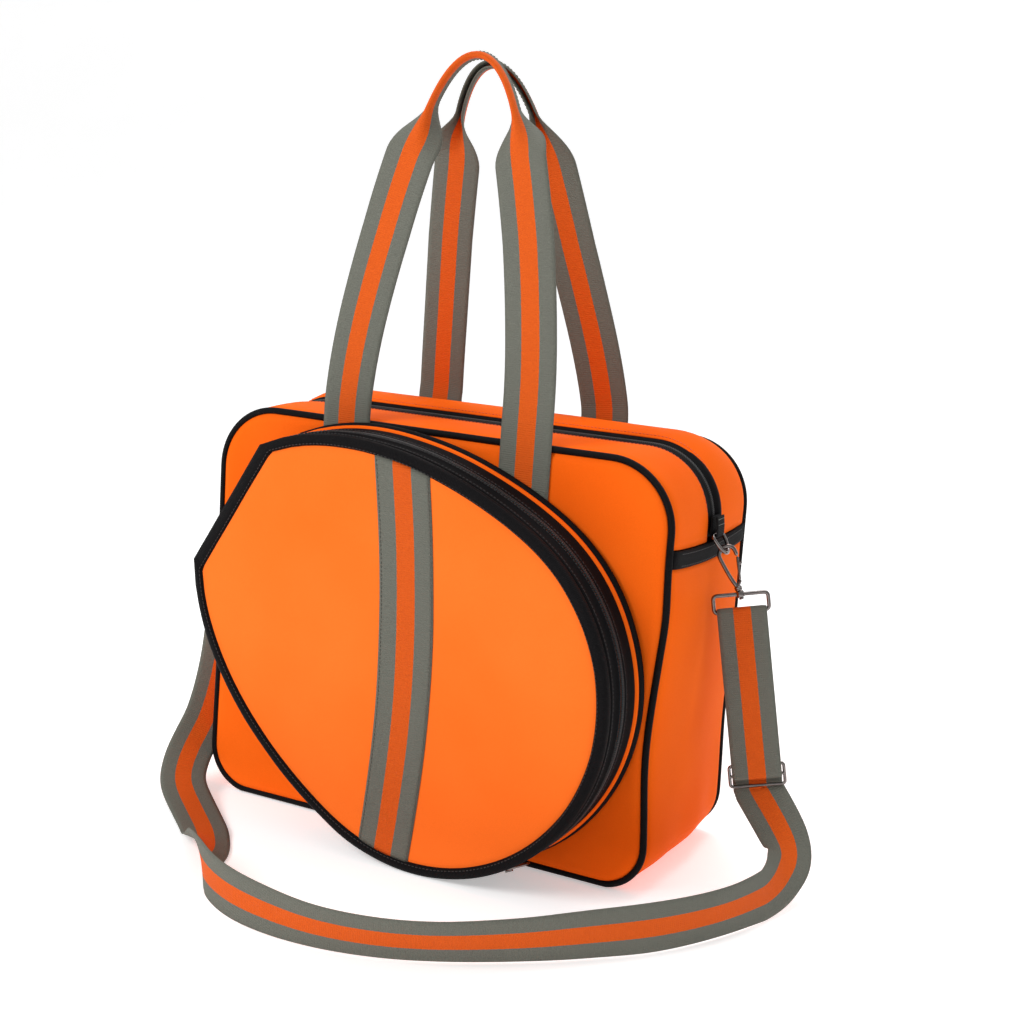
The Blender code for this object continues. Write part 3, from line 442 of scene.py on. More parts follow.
def with_normals(points, closed=False):
    """(x, z) points and their outward normals."""
    run = tangents(points, closed)
    return points, np.stack([run[:, 1], -run[:, 0]], axis=1)


def tube_grid(points, radius, sides=14, closed=False, hint=(0, 1, 0)):
    """Section loops of a round rod along a path; radius may differ from point to point."""
    points = np.asarray(points, float)
    run = tangents(points, closed)
    radius = np.broadcast_to(radius, len(points))
    across = np.array(hint, float)
    angles = 2 * pi * np.arange(sides) / sides
    grid = np.zeros((len(points), sides, 3))
    for i in range(len(points)):
        across = across - run[i] * (across @ run[i])
        across /= np.linalg.norm(across)
        up = np.cross(run[i], across)
        grid[i] = points[i] + radius[i] * (np.outer(np.cos(angles), across) + np.outer(np.sin(angles), up))
    reach = arclength(points)
    weave = np.stack([np.broadcast_to(angles * np.mean(radius), (len(points), sides)),
                      np.broadcast_to(reach[:, None], (len(points), sides))], axis=2)
    return grid, weave


def rod(name, points, radius, material, body, slot, sides=14, closed=False, hint=(0, 1, 0), **more):
    """A round rod along a path, with domed ends unless it closes."""
    points = np.asarray(points, float)
    radii = np.full(len(points), float(radius))
    if not closed:
        run = tangents(points)
        dome = ((0.95, 0.35), (0.6, 0.8))
        head = [points[0] - run[0] * radius * out for out, _ in dome]
        tail = [points[-1] + run[-1] * radius * out for out, _ in dome]
        points = np.vstack([head, points, tail[::-1]])
        ends = [radius * share for _, share in dome]
        radii = np.concatenate([ends, radii, ends[::-1]])
    grid, weave = tube_grid(points, radii, sides, closed, hint)
    return loft_piece(name, grid, material, body, slot, weave, closed=closed, **more)


def metal_rod(name, points, radius, body, **more):
    return rod(name, points, radius, METAL, body, "gunmetal", **more)


def join_metal(name, pieces, node):
    """Several metal shapes as one piece, which rides on its node's own body."""
    bm = bmesh.new()
    for piece in pieces:
        bm.from_mesh(piece.data)
        bpy.data.objects.remove(piece, do_unlink=True)
    mesh = bpy.data.meshes.new(name)
    bm.to_mesh(mesh)
    bm.free()
    mesh.materials.append(METAL)
    return place_piece(name, mesh, node, "gunmetal", (node,))


def webbing_section(fold=0.0, width=WEBBING, thick=WEBBING_THICK, count=13):
    """Closed loop (across, back, place across the webbing) of webbing folded lengthwise by an angle."""
    half = width / 2
    bend = 0.0021  # half the webbing that goes round the fold
    places = np.linspace(-half, half, count)
    centre, normal = [], []
    for place in places:
        s = abs(place)
        if fold < 1e-4:
            x, y, angle = s, 0.0, 0.0
        else:
            radius = bend / fold
            if s < bend:
                angle = s / radius
                x, y = radius * sin(angle), radius * (1 - cos(angle))
            else:
                angle = fold
                x = radius * sin(fold) + (s - bend) * cos(fold)
                y = radius * (1 - cos(fold)) + (s - bend) * sin(fold)
        sign = 1 if place >= 0 else -1
        centre.append((sign * x, y))
        normal.append((-sign * sin(angle), cos(angle)))
    centre, normal = np.array(centre), np.array(normal)
    slim = np.where(np.abs(places) > half - 1e-6, 0.45, 1.0) * thick / 2
    front = centre - normal * slim[:, None]
    rear = centre + normal * slim[:, None]
    loop = np.vstack([front, rear[::-1]])
    where = np.concatenate([places, places[::-1]])
    return loop[:, 0], loop[:, 1], where


def ribbon_grid(points, across, fold=None, width=WEBBING, thick=WEBBING_THICK, facing=None):
    """Sections of webbing along a path. across points over its width; facing, if given, is its back."""
    points = np.asarray(points, float)
    run = tangents(points)
    reach = arclength(points)
    rows = []
    weaves = []
    for i, point in enumerate(points):
        side = across[i] - run[i] * (across[i] @ run[i])
        side = side / np.linalg.norm(side)
        back = np.cross(run[i], side) if facing is None else facing[i]
        wide = width if np.isscalar(width) else width[i]
        x, y, where = webbing_section(0.0 if fold is None else fold[i], wide, thick)
        rows.append(point + np.outer(x, side) + np.outer(y, back))
        weaves.append(np.stack([where, np.full(len(where), reach[i])], axis=1))
    return np.array(rows), np.array(weaves)


def stitch_row(points, normals, pitch=0.0033, length=0.0023, radius=0.00038, sink=0.35):
    """Thread stitches along a line: (points, faces) arrays of small rounded bars."""
    points = np.asarray(points, float)
    normals = np.asarray(normals, float)
    reach = arclength(points)
    count = max(1, int(reach[-1] / pitch))
    middles = (np.arange(count) + 0.5) * reach[-1] / count
    place = np.stack([np.interp(middles, reach, points[:, k]) for k in range(3)], axis=1)
    facing = np.stack([np.interp(middles, reach, normals[:, k]) for k in range(3)], axis=1)
    facing = unit(facing)
    run = tangents(points)
    along = np.stack([np.interp(middles, reach, run[:, k]) for k in range(3)], axis=1)
    along -= facing * np.sum(along * facing, axis=1)[:, None]
    along /= np.maximum(np.linalg.norm(along, axis=1), 1e-9)[:, None]
    across = np.cross(facing, along)
    rings = [(-0.5, 0.35), (-0.36, 0.9), (0.36, 0.9), (0.5, 0.35)]
    sides = 6
    made_points, made_faces = [], []
    for i in range(count):
        start = len(made_points)
        for t, size in rings:
            for k in range(sides):
                a = 2 * pi * k / sides
                lift = radius * (1 - 2 * sink) - (radius * 0.9 if abs(t) == 0.5 else 0.0)
                made_points.append(place[i] + along[i] * length * t + across[i] * radius * size * cos(a)
                                   + facing[i] * (radius * size * sin(a) + lift))
        made_faces += tube_faces(start, len(rings), sides)
    return made_points, made_faces


def stitch_piece(name, rows, material, body, slot, **settings):
    """Rows of stitches, each a line and the way it faces, as one piece."""
    points, faces = [], []
    for line, normals in rows:
        more_points, more_faces = stitch_row(line, normals, **settings)
        shift = len(points)
        points += more_points
        faces += [tuple(i + shift for i in f) for f in more_faces]
    return add_piece(name, points, faces, material, body, slot)


# ---------------------------------------------------------------- outlines

def arc_points(cx, cz, radius, start, end, count):
    """(x, z) points on an arc, from one angle to another in degrees."""
    angles = np.radians(np.linspace(start, end, count))
    return np.stack([cx + radius * np.cos(angles), cz + radius * np.sin(angles)], axis=1)


def bag_outline(step):
    """Even (x, z) points round the bag's outline and their outward normals, from the right band up."""
    mid_top, mid_low = BAG_WIDTH / 2 - TOP_RADIUS, BAG_WIDTH / 2 - BOTTOM_RADIUS
    line = np.vstack([
        [(BAG_WIDTH / 2, BAND_TOP)],
        arc_points(mid_top, BAG_HEIGHT - TOP_RADIUS, TOP_RADIUS, 0, 90, 24),
        arc_points(-mid_top, BAG_HEIGHT - TOP_RADIUS, TOP_RADIUS, 90, 180, 24),
        arc_points(-mid_low, BOTTOM_RADIUS, BOTTOM_RADIUS, 180, 270, 20),
        arc_points(mid_low, BOTTOM_RADIUS, BOTTOM_RADIUS, 270, 360, 20),
        [(BAG_WIDTH / 2, BAND_TOP)],
    ])
    return with_normals(resample(line, step)[:-1], closed=True)


def top_outline(step):
    """(x, z) and normals from the right band over the top to the left band."""
    mid = BAG_WIDTH / 2 - TOP_RADIUS
    line = np.vstack([
        [(BAG_WIDTH / 2, BAND_TOP)],
        arc_points(mid, BAG_HEIGHT - TOP_RADIUS, TOP_RADIUS, 0, 90, 24),
        arc_points(-mid, BAG_HEIGHT - TOP_RADIUS, TOP_RADIUS, 90, 180, 24),
        [(-BAG_WIDTH / 2, BAND_TOP)],
    ])
    return with_normals(resample(line, step))


def low_outline(step):
    """(x, z) and normals from the left band under the base to the right band."""
    mid = BAG_WIDTH / 2 - BOTTOM_RADIUS
    line = np.vstack([
        [(-BAG_WIDTH / 2, BAND_BOTTOM)],
        arc_points(-mid, BOTTOM_RADIUS, BOTTOM_RADIUS, 180, 270, 20),
        arc_points(mid, BOTTOM_RADIUS, BOTTOM_RADIUS, 270, 360, 20),
        [(BAG_WIDTH / 2, BAND_BOTTOM)],
    ])
    return with_normals(resample(line, step))


def head_outline(inset=0.0, mouth_inset=None, flank=34, tip=90, mouth=0):
    """(x, z) points of the pocket's outline: lower throat corner, tip, upper throat corner, mouth."""
    mouth_inset = inset if mouth_inset is None else mouth_inset
    radius, length, cut = HEAD_RADIUS - inset, HEAD_LENGTH - inset, THROAT_LENGTH - mouth_inset
    share = (np.arange(flank) / flank) ** 0.8
    along = -cut * (1 - share)
    across = radius * np.sqrt(1 - (along / length) ** 2)
    angles = np.radians(np.linspace(-90, 90, tip))
    a = np.concatenate([along, radius * np.cos(angles), along[::-1]])
    c = np.concatenate([-across, radius * np.sin(angles), across[::-1]])
    if mouth:
        share = np.arange(1, mouth) / mouth
        a = np.concatenate([a, np.full(mouth - 1, -cut)])
        c = np.concatenate([c, across[0] * (1 - 2 * share)])
    ct, st = cos(AXIS_TILT), sin(AXIS_TILT)
    return np.stack([HEAD_X + a * ct - c * st, HEAD_Z + a * st + c * ct], axis=1)


def distance_to(points, line, closed=True):
    """Shortest distance from each (x, z) point to a polyline."""
    a = line
    b = np.roll(line, -1, axis=0) if closed else line[1:]
    a = a if closed else line[:-1]
    ab = b - a
    best = np.full(len(points), np.inf)
    for start, edge in zip(a, ab):
        t = np.clip(((points - start) @ edge) / max(edge @ edge, 1e-12), 0, 1)
        best = np.minimum(best, np.linalg.norm(points - start - t[:, None] * edge, axis=1))
    return best


def inside(points, line):
    """Which (x, z) points a closed polyline holds."""
    held = np.zeros(len(points), bool)
    for (x1, z1), (x2, z2) in zip(line, np.roll(line, -1, axis=0)):
        crosses = (z1 > points[:, 1]) != (z2 > points[:, 1])
        x = x1 + (points[:, 1] - z1) * (x2 - x1) / (z2 - z1 if z1 != z2 else 1e-12)
        held ^= crosses & (points[:, 0] < x)
    return held


def ripple(points, scale, seed):
    """Smooth noise, about -1 to 1, at (x, z) or (x, y, z) points."""
    out = []
    for p in points:
        v = Vector((p[0], seed, p[1])) if len(p) == 2 else Vector(p) + Vector((0, seed, 0))
        out.append(noise.noise(v * scale))
    return np.array(out)


def rise(distance, reach):
    """0 at an edge, and nearly 1 a few reaches away from it."""
    return 1 - np.exp(-distance / reach)


def bell(value, middle, width):
    return np.exp(-((value - middle) / width) ** 2)


def seam_dip(edge, width=0.003):
    """How far cloth dips towards a seam at a distance from it."""
    return SEAM_TUCK * np.exp(-(edge / width) ** 1.3)


HEAD_LINE = head_outline(mouth=24)


# ---------------------------------------------------------------- bag body

def slump(points):
    """The soft body's waist: its right side draws in a little at half height, more in front."""
    points = np.array(points, float)
    x, y, z = points[..., 0], points[..., 1], points[..., 2]
    half = BAG_WIDTH / 2
    points[..., 0] -= bell(z, 0.118, 0.062) * np.clip(x / half, 0, 1) ** 4 * (0.0042 - 0.022 * y)
    bump = bell(z, 0.225, 0.028) * np.clip(x / half, 0, 1) ** 6 * np.clip(0.5 - y / BAG_DEPTH, 0, 1)
    points[..., 0] += 0.0016 * bump
    points[..., 0] += 0.0020 * bell(z, 0.13, 0.06) * np.clip(-x / half, 0, 1) ** 4
    return points


def panel_puff(points, side):
    """How far a panel's cloth stands proud at (x, z) points."""
    edge = distance_to(points, bag_outline(0.006)[0])
    puff = 0.0038 * rise(edge, 0.022)
    if side < 0:
        to_head = distance_to(points, HEAD_LINE)
        puff = puff * np.where(inside(points, HEAD_LINE), 0.0, rise(to_head, 0.018))
    else:
        puff = puff * 1.3
    shift = FRONT_HANDLE[4] if side < 0 else REAR_HANDLE[4]
    for x in (shift - HANDLE_FOOT, shift + HANDLE_FOOT):
        beside = np.maximum(np.abs(points[:, 0] - x) - HANDLE_WEBBING / 2 - 0.001, 0)
        below = np.maximum(ANCHOR_BOTTOM - 0.002 - points[:, 1], 0)
        away = np.sqrt(beside ** 2 + below ** 2)
        puff = puff * (1 - np.exp(-(away / 0.012) ** 2))
    return puff + 0.0004 * ripple(points, 26.0, 3.0 + side) * np.clip(puff / 0.003, 0, 1)


def rings_inward(edge_line, centre, fine, coarse, seam_share):
    """(x, z) rings from an outline in towards a point, closer together near the outline."""
    shares = np.concatenate([np.linspace(0, seam_share, fine), np.linspace(seam_share, 0.985, coarse)[1:]])
    return np.vstack([edge_line + (np.array(centre) - edge_line) * share for share in shares]), len(shares)


def sheet_piece(name, flat, y, rings, material, side, thickness, node, bend=None):
    """A sheet from rings of (x, z) points and their y, closed at its middle, that faces side."""
    count = len(flat) // rings
    points = np.stack([flat[:, 0], y, flat[:, 1]], axis=1)
    points = np.vstack([points, points[-count:].mean(axis=0)])
    if bend:
        points = bend(points)
    obj = add_piece(name, points, filled_faces(rings, count), material, "bag", "neoprene", replaces=(node,))
    orient_outward(obj, lambda c: Vector((0, side, 0)))
    thicken(obj, thickness)


def build_panel(name, side):
    outline, normal = bag_outline(PANEL_STEP)
    edge_line = outline - normal * (2 * PIPING_RADIUS - 0.0007)
    flat, rings = rings_inward(edge_line, (0.0, BAG_HEIGHT / 2), 8, 34, 0.045)
    dip = seam_dip(distance_to(flat, edge_line), 0.0028)
    y = side * (BAG_DEPTH / 2 - dip + panel_puff(flat, side))
    sheet_piece(name + "_cloth", flat, y, rings, NEOPRENE, side, CLOTH, name, slump)


def gusset_grid(line, normal, ys, offset, sag):
    """Points at outline + normal * offset for each y, hanging sag lower; both take the distance to a band."""
    reach = arclength(line)
    rows = []
    for p, n, s in zip(line, normal, reach):
        from_band = min(s, reach[-1] - s)
        out = offset(p, n, from_band)
        rows.append(np.stack([p[0] + n[0] * out, ys, p[1] + n[1] * out - sag(n, from_band)], axis=1))
    return np.array(rows)


def band_sag(ys):
    """How far a side band hangs at its middle."""
    return BAND_SAG * (1 - (ys / GUSSET_EDGE) ** 2)


def cloth_folds(p, ys, scale, seed):
    """Smooth noise along a row of the gusset at outline point p."""
    x, z = p[0] * scale[0], p[1] * scale[2] + seed
    return np.array([noise.noise(Vector((x, y * scale[1], z))) for y in ys])


def from_middle(centre):
    return (centre - Vector((0, 0, BAG_HEIGHT / 2))).normalized()


def build_lower_gusset():
    """The base and both sides in one strip: the right side bulges more than the left, with a few folds."""
    line, normal = low_outline(GUSSET_STEP)
    ys = GUSSET_EDGE * np.sin(np.linspace(-pi / 2, pi / 2, 41))
    seam = GUSSET_EDGE - np.abs(ys)

    def offset(p, n, from_band):
        side = abs(n[0])
        height = 1 - np.clip(abs(p[1] - 0.12) / 0.16, 0, 1) ** 2
        bulge = 0.0070 * side ** 2 * height * (1 - (ys / GUSSET_EDGE) ** 2) ** 0.8
        bulge = bulge * rise(from_band, 0.02)
        if p[0] < 0:
            bulge = bulge * 0.35
        folds = cloth_folds(p, ys, (9, 16, 7), 4.0)
        crease = cloth_folds(p, ys, (30, 26, 22), 9.0)
        fade = rise(seam, 0.02) * rise(from_band, 0.03)
        low = bell(p[1], 0.03, 0.05) * side
        return bulge - seam_dip(seam) + fade * (0.0030 * folds * side + 0.0020 * crease * low)

    def sag(n, from_band):
        return band_sag(ys) * bell(from_band, 0, 0.05) if abs(n[0]) > 0.9 else 0 * ys

    grid = gusset_grid(line, normal, ys, offset, sag)
    grid[:, :, 2] = np.maximum(grid[:, :, 2], 0.0006)
    obj = grid_piece("lower_gusset_cloth", slump(grid), NEOPRENE, "bag", "neoprene",
                     replaces=("lower_gusset",))
    orient_outward(obj, from_middle)


def top_hump(y, side):
    """Height that the top's cloth stands proud between the zip and the seam."""
    share = np.clip((np.abs(y) - ZIP_OPENING) / (GUSSET_EDGE - ZIP_OPENING), 0, 1)
    if side < 0:
        return 0.0016 * np.sin(pi * share) - 0.0010 * (1 - share) ** 6
    return REAR_LIP * (1 - share ** 1.6) + 0.0058 * np.sin(pi * share ** 0.85) ** 0.9


def build_top_gusset(name, side):
    """The cloth beside the main zip, with a row of topstitching in a shallow groove."""
    line, normal = top_outline(GUSSET_STEP)
    stitch_line = 0.0030
    lap = 0.0006
    share = 0.5 - 0.5 * np.cos(np.linspace(0, pi, 23))
    ys = side * (ZIP_OPENING + lap + (GUSSET_EDGE - ZIP_OPENING - lap) * share)
    seam = GUSSET_EDGE - np.abs(ys)
    lip = np.abs(ys) - ZIP_OPENING

    def offset(p, n, from_band):
        bulge = top_hump(ys, side) * (0.35 + 0.65 * n[1] ** 2) * rise(from_band, 0.02)
        tuck = seam_dip(seam) + 0.0007 * bell(lip, 0, 0.0010)
        groove = 0.0005 * bell(lip, stitch_line, 0.0008)
        fade = rise(seam, 0.02) * rise(lip, 0.02) * rise(from_band, 0.03)
        return bulge - tuck - groove + 0.0013 * cloth_folds(p, ys, (11, 18, 9), 21.0) * fade

    def sag(n, from_band):
        return band_sag(ys) * bell(from_band, 0, 0.03)

    grid = gusset_grid(line, normal, ys, offset, sag)
    obj = grid_piece(name + "_cloth", grid, NEOPRENE, "bag", "neoprene", replaces=(name,))
    orient_outward(obj, from_middle)
    at = np.argmin(np.abs(ys - side * (ZIP_OPENING + stitch_line)))
    facing = np.insert(normal, 1, 0, axis=1)[4:-4]
    path = grid[4:-4, at, :] + facing * 0.0002
    stitch_piece(name + "_topstitch", [(path, facing)], THREAD, "bag", "neoprene")


def build_band(name, side):
    """Binding sewn over the side seam, sagging a little in its middle."""
    ys = np.linspace(-GUSSET_EDGE + 0.0004, GUSSET_EDGE - 0.0004, 45)
    bulges = 0.0012 * (1 - (ys / GUSSET_EDGE) ** 2)
    sags = band_sag(ys)
    loop = [(-0.0040, -0.0015), (0.0004, -0.0015), (0.0015, -0.0006), (0.0020, 0.0020), (0.0017, 0.0055),
            (0.0020, 0.0090), (0.0015, 0.0114), (0.0004, 0.0124), (-0.0040, 0.0124)]
    rows, weave = [], []
    for y, bulge, sag in zip(ys, bulges, sags):
        tuck = 0.0018 * np.exp(-((GUSSET_EDGE - abs(y)) / 0.003))
        rows.append([(side * (BAG_WIDTH / 2 + out - tuck + bulge), y, BAND_BOTTOM + up - sag)
                     for out, up in loop])
        weave.append([(up, y) for _, up in loop])
    loft_piece(name + "_tape", np.array(rows), BINDING, "bag", "binding", np.array(weave), replaces=(name,))
    rows = []
    for up in (0.0008, 0.0102):
        path = np.stack([side * (BAG_WIDTH / 2 + 0.0018 + bulges), ys, BAND_BOTTOM + up - sags], axis=1)[3:-3]
        rows.append((path, np.tile((side, 0, 0), (len(path), 1))))
    stitch_piece(name + "_stitches", rows, BLACK_THREAD, "bag", "binding")


def build_piping(name, side):
    """The cord in a panel's seam, not quite even."""
    line, normal = bag_outline(PANEL_STEP)
    wobble = 0.00035 * ripple(line, 18.0, 40.0 + side)
    inset = PIPING_RADIUS - 0.0002 + wobble
    y = side * (BAG_DEPTH / 2 - PIPING_RADIUS) + side * 0.0004 * ripple(line, 11.0, 60.0 + side)
    path = np.stack([line[:, 0] - normal[:, 0] * inset, y, line[:, 1] - normal[:, 1] * inset], axis=1)
    path[:, 2] = np.maximum(path[:, 2], PIPING_RADIUS + 0.0004)
    rod(name + "_cord", slump(path), PIPING_RADIUS + 0.0001, PIPING, "bag", "binding", closed=True,
        replaces=(name,))


def build_coil(name, line, y_middle, half, pitch, node):
    """Zip teeth: two rows of small loops that meet along the middle."""
    lift = -0.0003
    points, out = with_normals(resample(line, pitch))
    run = tangents(points)
    made, faces = [], []
    sides, size = 6, pitch * 0.42
    profile = [(0.98, -0.0006, 0.55), (0.95, 0.0002, 0.9), (0.55, 0.0006, 1.0), (0.10, 0.0007, 1.0),
               (-0.10, 0.0003, 0.8)]
    for p, n, t in zip(points, out, run):
        for row in (-1, 1):
            shift = 0.5 * pitch if row > 0 else 0.0
            start = len(made)
            for across, up, width in profile:
                y = y_middle + row * half * across
                radius = size * width
                height = lift + up
                centre = np.array([p[0] + t[0] * shift + n[0] * height, y,
                                   p[1] + t[1] * shift + n[1] * height])
                for k in range(sides):
                    a = 2 * pi * k / sides
                    made.append(centre + radius * (cos(a) * np.array([t[0], 0, t[1]])
                                                   + sin(a) * np.array([n[0], 0, n[1]])))
            faces += tube_faces(start, len(profile), sides)
    add_piece(name, made, faces, COIL, "bag", "zip_tape", replaces=(node,))


def strip_grid(line, normal, profile, wander=0.0):
    """Sections along an outline from a profile of (outwards, y), and their places on the cloth."""
    rows = [np.stack([line[:, 0] + normal[:, 0] * (out + wander), np.full(len(line), y),
                      line[:, 1] + normal[:, 1] * (out + wander)], axis=1) for out, y in profile]
    weave = [[(y, s) for _, y in profile] for s in arclength(line)]
    return np.array(rows).transpose(1, 0, 2), np.array(weave)


def build_main_zip():
    """Two tapes that climb from the coil to the cloth on each side, and the coil."""
    line, normal = top_outline(ZIP_STEP)
    for side, word in ((-1, "front"), (1, "rear")):
        lift = REAR_LIP if side > 0 else -0.0008
        profile = [(-0.0019, side * (TAPE_EDGE - 0.0018)), (-0.0006, side * (TAPE_EDGE - 0.0018)),
                   (-0.0004, side * 0.0038), (0.30 * lift, side * 0.0056), (0.75 * lift, side * 0.0074),
                   (0.95 * lift, side * 0.0095), (lift - 0.0004, side * 0.0120),
                   (lift - 0.0022, side * 0.0120), (0.5 * lift - 0.0016, side * 0.0070)]
        grid, weave = strip_grid(line, normal, profile)
        loft_piece(f"main_zip_cloth_{word}", grid, TAPE, "bag", "zip_tape", weave,
                   replaces=(f"main_zip_tape_{word}",))
    build_coil("main_zip_coil", line, 0.0, TEETH_HALF, 0.0017, "main_zip_teeth")


# ---------------------------------------------------------------- racket pocket

FACE_EDGE = head_outline(0.0035, mouth=24)


def face_y(points):
    """The pocket face's front surface at (x, z) points."""
    edge = distance_to(points, FACE_EDGE)
    dome = 0.0042 * (1 - np.exp(-(edge / 0.045) ** 1.2))
    tuck = 0.0016 * bell(edge, 0, 0.0050)
    soft = 0.0008 * ripple(points, 13.0, 77.0) * rise(edge, 0.03)
    return FACE_FRONT - dome + tuck - soft


def build_face():
    flat, rings = rings_inward(FACE_EDGE, (HEAD_X - 0.03, HEAD_Z + 0.018), 8, 36, 0.08)
    sheet_piece("pocket_face_cloth", flat, face_y(flat), rings, FACE_NEOPRENE, -1, FACE_CLOTH, "pocket_face")


def stripe_centre(z):
    """x of the stripe's middle, which bows a little to the right."""
    return 0.0245 - 0.0135 * ((z - 0.165) / 0.155) ** 2


def build_stripe():
    """Webbing sewn up the pocket's face, bulging with it."""
    half = STRIPE_WIDTH / 2
    edge = head_outline(0.0074, mouth=24)
    places = np.linspace(-half, half, 15)

    def reach_at(offset):
        zs = np.linspace(0.0, 0.33, 1200)
        probe = np.stack([stripe_centre(zs) + offset, zs], axis=1)
        held = zs[inside(probe, edge)]
        return held.min(), held.max()

    ends = [reach_at(p) for p in places]
    rows, weave = [], []
    steps = 74
    for k in range(steps + 1):
        z = np.array([low + (high - low) * k / steps for low, high in ends])
        x = stripe_centre(z) + places
        y = face_y(np.stack([x, z], axis=1)) - 0.0011
        y[[0, -1]] += 0.0005
        rows.append(np.stack([x, y, z], axis=1))
        weave.append(np.stack([places, z], axis=1))
    obj = grid_piece("pocket_stripe_webbing", np.array(rows), WEB_WIDE, "bag", "webbing", np.array(weave),
                     thickness=STRIPE_CLOTH, replaces=("pocket_stripe",))
    orient_outward(obj, lambda c: Vector((0, -1, 0)))
    rows = []
    for offset in (-half + 0.0018, half - 0.0018):
        low, high = reach_at(offset)
        zs = np.linspace(low + 0.002, high - 0.002, 60)
        flat = np.stack([stripe_centre(zs) + offset, zs], axis=1)
        path = np.stack([flat[:, 0], face_y(flat) - 0.0013, zs], axis=1)
        rows.append((path, np.tile((0, -1, 0), (len(path), 1))))
    stitch_piece("pocket_stripe_stitches", rows, GREY_THREAD, "bag", "webbing")


def build_pocket_binding():
    """Binding folded over the edge between the face and the wall, round the whole face."""
    front, back = POCKET_FRONT, POCKET_FRONT + 0.008
    profile = [(0.0072, front + 0.0014), (0.0058, front - 0.0006), (0.0035, front - 0.0012),
               (0.0012, front - 0.0004), (-0.0004, front + 0.0014), (-0.0006, front + 0.0045),
               (-0.0001, back), (0.0035, back - 0.0006), (0.0072, back - 0.0040)]
    rings = [np.insert(head_outline(a * 1.2, a * 1.7, mouth=24), 1, y, axis=1) for a, y in profile]
    grid = np.array(rings).transpose(1, 0, 2)
    wobble = 0.0006 * ripple(grid[:, 0, [0, 2]], 30.0, 15.0)
    grid[:, :, 1] += wobble[:, None]
    grid[:, :, 2] = np.maximum(grid[:, :, 2], 0.0003)
    reach = arclength(grid[:, 0])
    steps = [sqrt((a - c) ** 2 + (b - d) ** 2) for (a, b), (c, d) in zip(profile, profile[1:])]
    lap = np.cumsum([0.0] + steps)
    weave = np.array([[(u, s) for u in lap] for s in reach])
    loft_piece("pocket_edge_binding", grid, BINDING, "bag", "binding", weave, closed=True,
               replaces=("pocket_binding",))
    ring = np.insert(head_outline(0.0068, 0.0097, mouth=24), 1, front - 0.0009, axis=1)
    ring = np.vstack([ring, ring[:1]])
    stitch_piece("pocket_binding_stitches", [(ring, np.tile((0, -1, 0), (len(ring), 1)))], BLACK_THREAD,
                 "bag", "binding")


WALL_LINE = resample(head_outline(), WALL_STEP)


def wall_grid(profile, seed):
    """Part of the pocket's side wall: profile is (outwards, depth) pairs from front to back."""
    line, normal = with_normals(WALL_LINE)
    level = [(out, POCKET_BACK - depth) for out, depth in profile]
    grid, _ = strip_grid(line, normal, level, WALL_SWAY * ripple(line, 16.0, seed))
    grid[:, :, 2] = np.maximum(grid[:, :, 2], 0.0004)
    weave = [[(depth, s) for _, depth in profile] for s in arclength(line)]
    return grid, np.array(weave)


def pocket_outward(centre):
    """The way the pocket's wall faces at a point."""
    return Vector((centre.x - HEAD_X + 0.04, 0, centre.z - HEAD_Z - 0.025)).normalized()


def build_pocket_walls():
    """The two wide zip tapes, the orange strip behind them, the coil between and the cord at the back."""
    outer_tape = [(-0.0006, 0.0552), (0.0006, 0.0535), (0.0002, 0.0515), (-0.0008, 0.0490), (-0.0011, 0.0455),
                  (-0.0005, 0.0425), (0.0005, 0.0410), (0.0009, 0.0395), (0.0004, 0.0380), (-0.0008, 0.0370),
                  (-0.0012, 0.0346)]
    inner_tape = [(-0.0010, 0.0318), (0.0004, 0.0308), (0.0009, 0.0292), (0.0004, 0.0272), (-0.0006, 0.0235),
                  (-0.0009, 0.0200), (-0.0003, 0.0165), (0.0006, 0.0138), (0.0007, 0.0120), (-0.0010, 0.0108)]
    strip = [(-0.0014, 0.0124), (0.0008, 0.0120), (0.0022, 0.0110), (0.0029, 0.0098), (0.0026, 0.0086),
             (-0.0010, 0.0078)]
    tape, cloth = (TAPE, "zip_tape", TAPE_CLOTH), (NEOPRENE, "neoprene", STRIP_CLOTH)
    for name, node, (material, slot, thickness), seed, profile in (
            ("pocket_tape_front", "pocket_zip_tape_outer", tape, OUTER_SEED, outer_tape),
            ("pocket_tape_back", "pocket_zip_tape_inner", tape, INNER_SEED, inner_tape),
            ("pocket_base_strip_cloth", "pocket_base_strip", cloth, INNER_SEED, strip)):
        grid, weave = wall_grid(profile, seed)
        obj = grid_piece(name, grid, material, "bag", slot, weave, thickness=thickness, replaces=(node,))
        orient_outward(obj, pocket_outward)
    rows = []
    for depth, out, seed in ((0.0402, 0.0010, OUTER_SEED), (0.0286, 0.0009, INNER_SEED),
                             (0.0524, 0.0006, OUTER_SEED)):
        grid, _ = wall_grid([(out, depth), (out + 0.001, depth)], seed)
        rows.append((grid[2:-2, 0], grid[2:-2, 1] - grid[2:-2, 0]))
    stitch_piece("pocket_tape_stitches", rows, BLACK_THREAD, "bag", "zip_tape")
    build_coil("pocket_zip_coil", WALL_LINE, POCKET_BACK - 0.0332, 0.0025, 0.0018, "pocket_zip_teeth")
    cord = [(-0.0040, 0.0006), (0.0, 0.0002), (0.0026, 0.0006), (0.0043, 0.0018), (0.0047, 0.0035),
            (0.0041, 0.0053), (0.0024, 0.0068), (0.0004, 0.0077), (-0.0016, 0.0080), (-0.0040, 0.0076)]
    grid, weave = wall_grid(cord, INNER_SEED)
    loft_piece("pocket_base_cord", grid, PIPING, "bag", "binding", weave, replaces=("pocket_base_piping",))


# ---------------------------------------------------------------- handles

